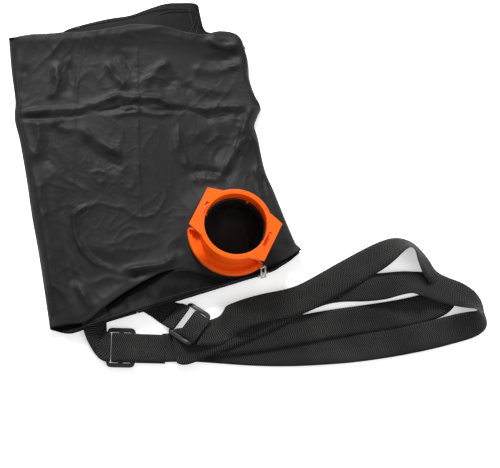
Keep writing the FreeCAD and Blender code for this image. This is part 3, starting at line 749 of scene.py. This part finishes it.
def make_side_gussets(material, tape):
    """The narrow sides, folded flat inside the bag's edges, and the tape over their raw seams."""
    folded_rows = ((1.2, 1.6), (0.9, 3.0), (3.0, 4.6), (9.0, 5.0), (16.0, 4.4), (22.0, 3.2))
    for name, edge, inward in (("gusset_left", LEFT_SIDE, 1), ("gusset_right", RIGHT_SIDE, -1)):
        outer = smooth_chain(edge, 90)
        grid = []
        for distance, height in folded_rows:
            row = []
            for p in inset_chain(outer, distance * inward):
                ripple = 0.5 * noise.noise(Vector((p.x * 0.05, p.y * 0.05, height)))
                row.append(Vector((p.x, p.y, height + ripple)))
            grid.append(row)
        declare_sheet(cloth_piece(name + "_cloth", grid, material, name), grid)
    for name, far_edge, distance, low in (("seam_binding_back", BACK_FAR_EDGE, 15.0, 1.8),
                                          ("seam_binding_front", FRONT_FAR_EDGE, 6.0, 5.0)):
        chain = inset_chain(smooth_chain(LEFT_SIDE, 80)[3:-8] + smooth_chain(far_edge, 90)[8:-6], distance)
        grid = []
        for j in range(5):
            lean = math.sin(math.pi * j / 4) * 0.8
            grid.append([Vector((p.x + lean, p.y, low + 0.9 * j)) for p in chain])
        cloth_piece(name + "_tape", grid, tape, name)


# ---------------------------------------------------------------- shoulder strap

WEBBING_WIDE = 38 * MM
WEBBING_THICK = 1.5 * MM
RIBBON_STEPS = 8                 # quads across the webbing's width

# The strap's route as in the CAD model: x, y, z in mm. Where the strap doesn't lie level and square to
# its route, the compass direction of its width and that direction's rise follow, in degrees.
STRAP_ROUTE = [
    (20.4, -238.3, 1.7), (55, -236.2, 1.7), (95, -238, 1.7), (138, -240.2, 1.7), (183, -240, 1.7),
    (228, -237, 1.7), (275, -232, 1.7), (326, -223.5, 1.7), (376, -212.5, 1.9), (413, -202, 4, 110, 8),
    (437, -196, 9, 124, 26), (450, -189.5, 14.5, 150, 46), (447.5, -179, 16.5, 190, 57),
    (441, -169, 13.5, 213, 36), (431, -160.5, 9.5, 226, 16), (416, -153.5, 7.6, 240, 4),
    (398, -148.5, 7.4, 250, 2), (377, -143, 9, 253, 10), (356, -140.5, 12, 261, 25),
    (337, -143, 11, 269, 18), (315, -147.5, 8.4, 276, 6), (288, -150.5, 7.4), (258, -151, 7.4),
    (230, -156.5, 7.4), (198, -171, 7.4), (165, -189.5, 7.4), (128, -208, 7.4), (94, -222.5, 7.4),
    (64, -236, 7.4, 290, 0), (46, -243.5, 7, 284, 0), (35, -241, 6.4, 280, 0), (35, -233, 5.6, 277, 0),
    (45, -230.7, 4.9, 276, 0), (62, -230, 4.7), (86, -228.8, 4.6), (118, -225.6, 4.6), (155, -219.5, 4.6),
    (200, -209.5, 4.6), (246, -199.5, 3.8), (296, -191, 2.4), (340, -182.5, 1.8), (370, -175, 1.7),
    (391, -168, 1.7), (402, -158, 2, 152, 0), (403, -145, 3, 190, 8), (396, -135.5, 5, 196, 20),
    (385, -129, 9.5, 190, 33), (376.5, -121, 14, 188, 43), (371, -110, 17.2, 191, 48),
    (365, -98.5, 18.6, 200, 57), (356.5, -90, 18, 229, 58), (346.5, -87.5, 16, 262, 52),
    (336, -90, 13.4, 281, 40), (324, -97, 10.8, 291, 26), (309, -106.5, 9, 298, 12), (288, -119, 8.8),
    (257, -137.5, 10.4), (228, -155.5, 10.8), (203, -169.5, 10.8), (181, -176.5, 10.8),
    (158, -181.5, 11.4), (136, -188.5, 13.4), (119, -195.5, 15.8, 296, 0), (109.5, -200, 14.2, 296, -6),
    (106.5, -204.5, 11, 293, -8), (102, -210, 8.8, 286, -4), (94, -214.5, 8.9, 272, 0),
    (83, -217.5, 11, 256, 0), (71.5, -219, 13.6, 243, 0),
]


def smooth_line(name, points):
    """Points read from the NURBS spline whose control points are the route's."""
    curve = bpy.data.curves.new(name, "CURVE")
    curve.dimensions = "3D"
    curve.resolution_u = 12
    spline = curve.splines.new("NURBS")
    spline.points.add(len(points) - 1)
    for control, point in zip(spline.points, points):
        control.co = (*point, 1.0)
    spline.order_u = 3
    spline.use_endpoint_u = True
    holder = bpy.data.objects.new(name, curve)
    mesh = bpy.data.meshes.new_from_object(holder)
    line = [v.co.copy() for v in mesh.vertices]
    bpy.data.meshes.remove(mesh)
    bpy.data.objects.remove(holder)
    bpy.data.curves.remove(curve)
    return line


def compass_side(azimuth, rise=0.0):
    """Unit vector for a compass direction and its rise, in degrees."""
    azimuth, rise = math.radians(azimuth), math.radians(rise)
    return Vector((math.cos(azimuth) * math.cos(rise), math.sin(azimuth) * math.cos(rise), math.sin(rise)))


def cross_directions(route):
    """Direction of the strap's width at each route point, turning as little as possible on the way."""
    found = []
    for i, row in enumerate(route):
        if len(row) == 5:
            side = compass_side(row[3], row[4])
        else:
            ahead = Vector(route[min(i + 1, len(route) - 1)][:3])
            heading = ahead - Vector(route[max(i - 1, 0)][:3])
            side = Vector((-heading.y, heading.x, 0)).normalized()
        if found and side.dot(found[-1]) < 0:
            side = -side
        found.append(side)
    return found


def spread_sides(line, route, directions):
    """Direction of the width at every point of the line, eased between the route's points."""
    look_ahead = 60
    places = []
    start = 0
    for point in route:
        reach = range(start, min(start + look_ahead, len(line)))
        start = min(reach, key=lambda k: (line[k] - point).length_squared)
        places.append(start)
    places[0], places[-1] = 0, len(line) - 1
    sides = []
    for k in range(len(line)):
        i = max(j for j in range(len(places)) if places[j] <= k)
        if i == len(places) - 1:
            sides.append(directions[-1])
            continue
        t = (k - places[i]) / max(places[i + 1] - places[i], 1)
        sides.append(directions[i].lerp(directions[i + 1], t).normalized())
    for _ in range(6):
        smoother = [sides[0]]
        for before, here, after in zip(sides, sides[1:], sides[2:]):
            smoother.append((before + here * 2 + after).normalized())
        sides = smoother + [sides[-1]]
    return sides


def ribbon(name, line, sides, thick, ripple, seed):
    """Webbing along a line, with a cross direction for each point of the line; none of it below the floor."""
    build = bmesh.new()
    uv_layer = build.loops.layers.uv.new("UVMap")
    distances = distances_along(line)
    rings = []
    for k, point in enumerate(line):
        heading = (line[min(k + 1, len(line) - 1)] - line[max(k - 1, 0)]).normalized()
        side = sides[k]
        normal = heading.cross(side).normalized()
        lift = ripple * noise.noise(Vector((distances[k] * 22.0, seed, 0.0)))
        ring = []
        for top in (1, -1):
            for j in range(RIBBON_STEPS + 1)[::top]:
                t = j / RIBBON_STEPS * 2 - 1
                edge = 1 - abs(t) ** 8 * 0.65
                cup = ripple * 0.8 * t * noise.noise(Vector((distances[k] * 17.0, seed + 5.0, 0.0)))
                offset = side * (t * WEBBING_WIDE / 2) + normal * (top * thick / 2 * edge + lift + cup)
                spot = point + offset
                spot.z = max(spot.z, 0.2 * MM)
                ring.append(build.verts.new(spot))
        rings.append(ring)
    count = len(rings[0])
    for k in range(len(rings) - 1):
        for j in range(count):
            following = (j + 1) % count
            quad = (rings[k][j], rings[k][following], rings[k + 1][following], rings[k + 1][j])
            face = build.faces.new(quad)
            face.smooth = True
            step, next_step = (min(i, count - 1 - i) for i in (j, following))
            spots = ((k, step), (k, next_step), (k + 1, next_step), (k + 1, step))
            for loop, (row, across) in zip(face.loops, spots):
                loop[uv_layer].uv = (distances[row], across / RIBBON_STEPS * WEBBING_WIDE)
    build.faces.new(rings[0][::-1])
    build.faces.new(rings[-1])
    bmesh.ops.recalc_face_normals(build, faces=build.faces)
    return finished_mesh(name, build)


def make_shoulder_strap(material):
    route = [Vector(row[:3]) * MM for row in STRAP_ROUTE]
    line = smooth_line("strap_line", route)
    sides = spread_sides(line, route, cross_directions(STRAP_ROUTE))
    strap = ribbon("shoulder_strap_webbing", line, sides, WEBBING_THICK, ripple=0.0005, seed=3.0)
    dress(strap, material, "bag", "shoulder_strap")


# ---------------------------------------------------------------- solids, with their sizes in mm

def eased(points, radius, steps=3):
    """The closed outline with every corner rounded."""
    rounded = []
    for i, corner in enumerate(points):
        corner = Vector(corner)
        before, after = Vector(points[i - 1]) - corner, Vector(points[(i + 1) % len(points)]) - corner
        reach = min(radius, before.length * 0.45, after.length * 0.45)
        a, b = corner + before.normalized() * reach, corner + after.normalized() * reach
        for step in range(steps + 1):
            t = step / steps
            rounded.append(a.lerp(corner, t).lerp(corner.lerp(b, t), t))
    return rounded


def ring_of_points(build, centre, across, other, radius, sides):
    """A circle of vertices in the plane of two directions."""
    angles = [2 * math.pi * k / sides for k in range(sides)]
    return [build.verts.new(centre + (across * math.cos(a) + other * math.sin(a)) * radius) for a in angles]


def join_rings(build, rings):
    """Faces between each ring of vertices and the next."""
    for a, b in zip(rings, rings[1:]):
        for k in range(len(a)):
            following = (k + 1) % len(a)
            build.faces.new((a[k], a[following], b[following], b[k]))


def lathe(build, profile, segments, start=0.0, sweep=360.0):
    """A profile of (radius, height) turned about the Z axis."""
    full = sweep >= 360.0
    rings = []
    for k in range(segments if full else segments + 1):
        angle = math.radians(start + sweep * k / segments)
        rings.append([build.verts.new((r * math.cos(angle), r * math.sin(angle), z)) for r, z in profile])
    join_rings(build, rings + rings[:1] if full else rings)
    if not full:
        build.faces.new(rings[0][::-1])
        build.faces.new(rings[-1])


def prism(build, outline, low, high):
    bottom = [build.verts.new((p[0], p[1], low)) for p in outline]
    top = [build.verts.new((p[0], p[1], high)) for p in outline]
    build.faces.new(bottom[::-1])
    build.faces.new(top)
    join_rings(build, [bottom, top])


def block(build, x0, y0, z0, x1, y1, z1):
    prism(build, [(x0, y0), (x1, y0), (x1, y1), (x0, y1)], z0, z1)


def rod(build, start, end, radius, sides=20, round_end=0.35):
    """A round bar with eased ends."""
    start, end = Vector(start), Vector(end)
    way = (end - start).normalized()
    across = way.orthogonal().normalized()
    other = way.cross(across)
    ease = radius * round_end
    length = (end - start).length
    stations = [(0.0, radius - ease), (ease * 0.3, radius - ease * 0.3), (ease, radius),
                (length - ease, radius), (length - ease * 0.3, radius - ease * 0.3), (length, radius - ease)]
    rings = [ring_of_points(build, start + way * along, across, other, r, sides) for along, r in stations]
    join_rings(build, rings)
    build.faces.new(rings[0][::-1])
    build.faces.new(rings[-1])


def mesh_object(name, build):
    bmesh.ops.recalc_face_normals(build, faces=build.faces)
    return finished_mesh(name, build)


def moulded(name, solid, cuts, place, bevel, material, body, node):
    """A moulded piece: shells minus cuts, with eased edges, put in its place."""
    piece = mesh_object(name, solid)
    if cuts:
        cutter = mesh_object(name + "_cuts", cuts)
        carve = piece.modifiers.new("cuts", "BOOLEAN")
        carve.operation = "DIFFERENCE"
        carve.solver = "EXACT"
        carve.use_self = True
        carve.object = cutter
        applied(piece)
        bpy.data.objects.remove(cutter)
    ease = piece.modifiers.new("eased_edges", "BEVEL")
    ease.width = bevel
    ease.segments = 3
    ease.limit_method = "ANGLE"
    ease.angle_limit = math.radians(38)
    applied(piece)
    piece.data.transform(place @ Matrix.Scale(MM, 4))
    piece.data.shade_smooth()
    piece.data.set_sharp_from_angle(angle=math.radians(50))
    piece.data.materials.clear()
    dress(piece, material, body, node)


def add_turned(solid, extra, degrees):
    """Add one shell to another, turned about the upright axis."""
    extra.transform(Matrix.Rotation(math.radians(degrees), 4, "Z"))
    spare = bpy.data.meshes.new("extra")
    extra.to_mesh(spare)
    extra.free()
    solid.from_mesh(spare)
    bpy.data.meshes.remove(spare)


# ---------------------------------------------------------------- collar and retaining ring

JOINTS = {joint["name"]: joint for joint in frame["record"]["behaviour"]["joints"]}
MOUNTS = {mount["name"]: mount for mount in frame["record"]["mounts"]}
BORE_X, BORE_Y, _ = MOUNTS["inlet_bore"]["pos_m"]
COLLAR_TURN = -25                # degrees from +X to the line through the collar's two ears
COLLAR_PLACE = Matrix.Translation((BORE_X, BORE_Y, 0)) @ Matrix.Rotation(math.radians(COLLAR_TURN), 4, "Z")
FOOT_HEIGHT = 18.5
RIM_HEIGHT = 58.0
PLATE = 5.0                      # thickness of the rim and its ears
BORE = 41.5                      # radii of the bore, its wider lower part, and the outside of the wall
LOWER_BORE = 43.2
WALL = 45
SHOULDER = 39                    # height at which the bore widens
SKIRT_SWEEP = 132.0              # degrees


def make_collar(material):
    """Collar: wall with foot flange, rim with two ears, ribs below them, a part skirt and four nubs."""
    solid = bmesh.new()
    under_rim = RIM_HEIGHT - PLATE
    tube = [(LOWER_BORE, FOOT_HEIGHT), (52, FOOT_HEIGHT), (52, 20.8), (WALL, 20.8), (WALL, under_rim),
            (48, under_rim), (48, RIM_HEIGHT), (BORE, RIM_HEIGHT), (BORE, SHOULDER), (LOWER_BORE, SHOULDER)]
    lathe(solid, eased(tube, 0.7, 2), 112)
    for side in (1, -1):
        ear = [(38, 22.5), (34, 34), (46, 30.6), (54.5, 28), (54.5, -28), (46, -30.6), (34, -34), (38, -22.5),
               (42.5, -13), (44.2, 0), (42.5, 13)]
        outline = [(side * x, y) for x, y in ear]
        prism(solid, outline if side > 0 else outline[::-1], under_rim, RIM_HEIGHT)
        rib = bmesh.new()
        block(rib, 43.5, -1.1, FOOT_HEIGHT + 0.4, 59.4, 1.1, FOOT_HEIGHT + 11)
        add_turned(solid, rib, -90 + side * (SKIRT_SWEEP / 2 - 1))
        for along in (13, -13):
            block(solid, side * 44.2, along - 0.9, RIM_HEIGHT - 9.5, side * 50.5, along + 0.9, RIM_HEIGHT - 4)
    skirt = [(44, FOOT_HEIGHT), (60.6, FOOT_HEIGHT), (60.6, 23.6), (59.2, 25.2), (55.0, 25.2), (54.6, 22.4),
             (51.2, 22.4), (50.6, 20.2), (44, 20.2)]
    lathe(solid, eased(skirt, 0.35, 2), 72, 270 - SKIRT_SWEEP / 2, SKIRT_SWEEP)
    for quarter in range(4):
        nub = bmesh.new()
        block(nub, 40.2, -1.5, 35.4, 43.9, 1.5, 38.8)
        add_turned(solid, nub, 90 * quarter)
    cuts = bmesh.new()
    for near, far in ((43.2, 47.5), (-47.5, -43.2)):
        block(cuts, near, -10.5, RIM_HEIGHT - 7, far, 10.5, RIM_HEIGHT + 1)
    bore, low, high = BORE - 0.04, SHOULDER + 0.2, RIM_HEIGHT + 1
    lathe(cuts, [(0.5, low), (bore, low), (bore, high), (0.5, high)], 112)
    moulded("collar", solid, cuts, COLLAR_PLACE, 0.55, material, "bag", "inlet_collar")


def make_retaining_ring(material):
    """Flange inside the bag, and a sleeve up the collar with four notches for its nubs."""
    solid = bmesh.new()
    profile = [(39.5, 14.1), (56, 14.1), (56, 17.2), (43, 17.2), (43, 37.8), (42, 38.7), (39.5, 38.7)]
    lathe(solid, eased(profile, 0.5, 2), 96)
    cuts = bmesh.new()
    block(cuts, -45, -1.9, 34.8, 45, 1.9, 40)
    block(cuts, -1.9, -45, 34.8, 1.9, 45, 40)
    moulded("ring", solid, cuts, COLLAR_PLACE, 0.3, material, "bag", "retaining_ring")


# ---------------------------------------------------------------- buckles, tabs and strap ends

def buckle_place(joint, turn, lean):
    spot = Matrix.Translation(Vector(JOINTS[joint]["pos_m"]))
    return spot @ Matrix.Rotation(math.radians(turn), 4, "Z") @ Matrix.Rotation(math.radians(lean), 4, "Y")


LEFT_BUCKLE = buckle_place("left_buckle_lift", 0, 0)
RIGHT_BUCKLE = buckle_place("right_buckle_lift", -35, -15)
RIGHT_FLAT = buckle_place("right_buckle_lift", -35, 0)
BUCKLE_WIDE = 51.5
SLOT_WIDE = 40.5
LOOP_GAP = 1.95                  # half the space between the two layers either side of the buckle


def make_buckle(name, place, material, body, node):
    """Buckle frame: X towards the strap, Y along the bars, origin on the round bar's axis."""
    half, slot = BUCKLE_WIDE / 2, SLOT_WIDE / 2
    solid = bmesh.new()
    prism(solid, eased([(-2, -half), (35, -half), (35, half), (-2, half)], 7.5, 6), -1.5, 1.5)
    cuts = bmesh.new()
    block(cuts, -4, -slot, -3, 13.5, slot, 3)
    block(cuts, 19.5, -slot, -3, 29, slot, 3)
    moulded(name, solid, cuts, place, 1.1, material, body, node)
    bars = bmesh.new()
    rod(bars, (0, -21.3, 0), (0, 21.3, 0), 1.95)
    for k in range(9):
        across = -16 + 4 * k
        block(bars, 14.6, across - 0.5, 1.3, 18.4, across + 0.5, 1.75)
    moulded(name + "_bar", bars, None, place, 0.2, material, body, node)


def webbing_piece(name, rows, place, material, node, body=None):
    """A short run of webbing from rows of x, y, z in mm and the compass direction of its width."""
    points = [place @ (Vector(row[:3]) * MM) for row in rows]
    line = smooth_line("strap_piece_line", points)
    sides = spread_sides(line, points, [place.to_3x3() @ compass_side(row[3]) for row in rows])
    piece = ribbon(name, line, sides, 1.25 * MM, ripple=0.0002, seed=len(name) * 1.7)
    return dress(piece, material, body, node)


def stitches(name, places, material, node, body="bag", length=2.2 * MM, radius=0.32 * MM):
    """Short rounded thread stitches, each lying from one point towards the next."""
    build = bmesh.new()
    for a, b in places:
        way = (b - a).normalized()
        centre = (a + b) / 2
        rod(build, centre - way * length / 2, centre + way * length / 2, radius, 7, 0.8)
    sewn = mesh_object(name, build)
    sewn.data.shade_smooth()
    return dress(sewn, material, body, node)


def stitch_run(points, pitch, lift):
    """Pairs of points along a path, one pair for each stitch, raised off the cloth."""
    count = max(int(distances_along(points)[-1] / pitch), 2)
    spaced = even_points(points, count)
    up = Vector((0, 0, lift))
    return [(a + up, b + up) for a, b in zip(spaced, spaced[1:])]


def make_tabs(webbing):
    """Webbing from the bottom seam, turned once round the buckle's round bar and laid back on itself; its
    stitching is not drawn.
    """
    left = [(-70, -199, 11, 36), (-68, -207, 10, 40), (-65.5, -216, 7, 48), (-62, -226, 4, 62),
            (-57, -236, 1.6, 78), (-52.5, -239.6, 0.8, 90), (-48.6, -240, 0.9, 90), (-47, -240, 2.6, 90),
            (-47, -240, 4.7, 90), (-48.6, -240, 6.4, 90), (-52, -239.7, 6.3, 89), (-56, -237.5, 4.6, 82),
            (-60, -231, 4.6, 72)]
    webbing_piece("tab_left_webbing", left, Matrix.Identity(4), webbing, "strap_tab_left", "bag")
    right = [(-37, -5, -3.5, 60), (-30, -4, -3.2, 62), (-22, -2.5, -2.6, 68), (-14, -1.5, -2.9, 80),
             (-7, -0.5, -2.9, 88), (-2, 0, -2.85, 90), (1.4, 0, -2.6, 90), (2.95, 0, -1.0, 90),
             (2.95, 0, 1.0, 90), (1.4, 0, 2.7, 90), (-2, 0, 2.7, 90), (-6, -0.4, 0.8, 88),
             (-12, -1, -0.6, 82)]
    webbing_piece("tab_right_webbing", right, RIGHT_FLAT, webbing, "strap_tab_right", "bag")


def strap_end_rows(long, joins_at, loop):
    """Side view of the strap's end: under the buckle, round its middle bar, back over and down."""
    layer = LOOP_GAP + 0.6
    sewn = 1.35 - layer
    side_view = [(long, -layer), (30, -layer), (17, -layer), (loop + 1.6, -layer), (loop, -1.2), (loop, 1.2),
                 (loop + 1.6, layer), (17, layer), (30, layer), (joins_at - 5, layer - 0.5),
                 (joins_at + 1, 1.6 - layer), (joins_at + 6, sewn), (long - 1, sewn)]
    return [(x, 0, z, 90) for x, z in side_view]


def make_strap_ends(webbing, thread):
    """The left end turned back and sewn with a boxed cross, the right end threaded and left loose."""
    left = webbing_piece("end_left_webbing", strap_end_rows(74, 38, 4.6), LEFT_BUCKLE, webbing,
                         "strap_end_left")
    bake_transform(left)

    top = -LOOP_GAP + 1.65
    a, b, c, d = (46, -14), (58, -14), (58, 14), (46, 14)
    places = []
    for run in ((a, b), (b, c), (c, d), (d, a), (a, c), (b, d)):
        ends = [LEFT_BUCKLE @ (Vector((*p, top)) * MM) for p in run]
        places += stitch_run(ends, 2.6 * MM, 0.0)
    sewn = stitches("end_left_stitches", places, thread, "strap_end_stitching", body=None, length=2.1 * MM)
    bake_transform(sewn)

    threaded = strap_end_rows(38, 46, 12.0)[:9] + [(37, 0, LOOP_GAP - 0.2, 90)]
    right = webbing_piece("end_right_webbing", threaded, RIGHT_BUCKLE, webbing, "strap_end_right")
    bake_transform(right)


# ---------------------------------------------------------------- zip

ZIP_RUN = -Vector(JOINTS["zip_run"]["axis"])
PULL_PIN = Vector(JOINTS["pull_swing"]["pos_m"])
ZIP_PLACE = Matrix.Translation(PULL_PIN) @ Matrix.Rotation(math.atan2(ZIP_RUN.y, ZIP_RUN.x), 4, "Z")
PIN_OUT = 5.55                   # the pull's pin stands this far out from the tapes
PIN_OVER = 2.6                   # and this far above the line where the coils mesh
ZIP_START, ZIP_END = -175.5, 9.45
STOP_LONG = 3
PULL_LEAN = 26.0                 # degrees from upright, towards the bag


def make_zip_tapes(tape):
    for name, low, high in (("zip_tape_lower", -10.1, -3.0), ("zip_tape_upper", -2.2, 4.8)):
        rows = []
        for j in range(5):
            level = low + (high - low) * j / 4
            row = []
            for k in range(121):
                x = ZIP_START + k * (ZIP_END - ZIP_START) / 120
                spot = Vector((x, PIN_OUT - 0.2 + 0.15 * math.sin(x * 0.4 + j), level))
                row.append(ZIP_PLACE @ (spot * MM) / MM)
            rows.append(row)
        cloth_piece(name + "_cloth", rows, tape, name, 0.6 * MM)


def make_zip_coils(coil):
    """Each half of the zip is a wire wound into a spiral; the two stand half a turn apart."""
    turns, steps, wire, sides = 160, 8, 0.30, 5
    wound = ZIP_END - ZIP_START - 2 * STOP_LONG
    for name, sign in (("zip_coil_lower", -1), ("zip_coil_upper", 1)):
        path = []
        for k in range(turns * steps + 1):
            angle = 2 * math.pi * k / steps
            path.append(Vector((ZIP_START + STOP_LONG + wound * k / (turns * steps) + 0.28 * sign,
                                PIN_OUT - 1.15 - 0.7 * math.cos(angle),
                                -PIN_OVER + sign * (1.05 + 1.1 * math.sin(angle)))))
        build = bmesh.new()
        rings = []
        for k, point in enumerate(path):
            ahead = path[min(k + 1, len(path) - 1)] - path[max(k - 1, 0)]
            across = ahead.cross(Vector((1, 0, 0))).normalized()
            other = ahead.cross(across).normalized()
            rings.append(ring_of_points(build, point, across, other, wire, sides))
        join_rings(build, rings)
        spiral = mesh_object(name + "_spiral", build)
        spiral.data.transform(ZIP_PLACE @ Matrix.Scale(MM, 4))
        spiral.data.shade_smooth()
        dress(spiral, coil, "bag", name)


def make_zip_stops(metal):
    for name, start in (("zip_stop_left", ZIP_START), ("zip_stop_right", ZIP_END - STOP_LONG)):
        build = bmesh.new()
        block(build, start, PIN_OUT - 2.5, -PIN_OVER - 3, start + STOP_LONG, PIN_OUT, -PIN_OVER + 3)
        moulded(name + "_clip", build, None, ZIP_PLACE, 0.6, metal, "bag", name)


def make_zip_slider(metal):
    """Slider: a face plate, two lips that wrap the coils, and the post that holds the pull."""
    slider = bmesh.new()
    face = PIN_OUT - 3.85
    outline = eased([(-6, face), (6, face), (6, face + 1.6), (-6, face + 1.6)], 0.6)
    prism(slider, outline, -PIN_OVER - 4.3, -PIN_OVER + 4.3)
    for low in (-PIN_OVER + 2.95, -PIN_OVER - 3.95):
        block(slider, -6, face + 1.4, low, 6, PIN_OUT - 0.35, low + 1)
    for x in (-2.5, 1.7):
        block(slider, x, face - 3.2, -1.5, x + 0.8, face + 0.3, 1.6)
    block(slider, -2.5, face - 3.4, 1.0, 2.5, face - 2.6, 1.7)
    moulded("slider_body", slider, None, ZIP_PLACE, 0.35, metal, "slider", "zip_slider")


def make_zip_pull(metal):
    """Pull: an open loop on a pin, with a window that clears the slider's post."""
    pull = bmesh.new()
    prism(pull, eased([(-4, 4), (4, 4), (4, 22), (-4, 22)], 3.2, 5), -0.7, 0.7)
    for x in (2.8, -4.0):
        block(pull, x, -0.8, -0.7, x + 1.2, 5, 0.7)
    rod(pull, (-3.7, 0, 0), (3.7, 0, 0), 0.8, 14)
    cuts = bmesh.new()
    prism(cuts, eased([(-1.9, 9.5), (1.9, 9.5), (1.9, 19.5), (-1.9, 19.5)], 1.8, 4), -3, 3)
    prism(cuts, eased([(-2.6, 1.2), (2.6, 1.2), (2.6, 6.4), (-2.6, 6.4)], 1.2, 4), -3, 3)
    stand = Matrix.Rotation(math.radians(90 - PULL_LEAN), 4, "X")
    moulded("pull_tab", pull, cuts, ZIP_PLACE @ stand, 0.35, metal, "pull", "zip_pull")


# ---------------------------------------------------------------- the whole scene

make_camera()
WEBBING = webbing_material()
make_shoulder_strap(WEBBING)
NYLON = nylon_material("nylon", 1.0, 1.0)
# darker copy of the nylon for the gussets: its darkening is painted shade, and it is also less glossy
DULL_SHADED_NYLON = nylon_material("dull_shaded_nylon", 0.40, 0.4)
TAPE = tape_material()
THREAD = thread_material()
make_front_panel(NYLON)
make_back_panel(NYLON)
make_gussets(DULL_SHADED_NYLON, THREAD)
make_side_gussets(DULL_SHADED_NYLON, TAPE)
ORANGE = plastic_material("orange_plastic", (0.87, 0.098, 0.002), (0.95, 0.122, 0.003), 0.40, 0.06, 0.22)
BLACK = plastic_material("black_plastic", (0.008, 0.008, 0.009), (0.015, 0.015, 0.016), 0.36, 0.10, 0.25)
METAL = metal_material()
make_collar(ORANGE)
make_retaining_ring(BLACK)
make_buckle("left_buckle_frame", LEFT_BUCKLE, BLACK, "left_buckle", "buckle_left")
make_buckle("right_buckle_frame", RIGHT_BUCKLE, BLACK, "right_buckle", "buckle_right")
make_tabs(WEBBING)
make_strap_ends(WEBBING, THREAD)
make_zip_tapes(TAPE)
make_zip_coils(BLACK)
make_zip_stops(METAL)
make_zip_slider(METAL)
make_zip_pull(METAL)
make_studio()
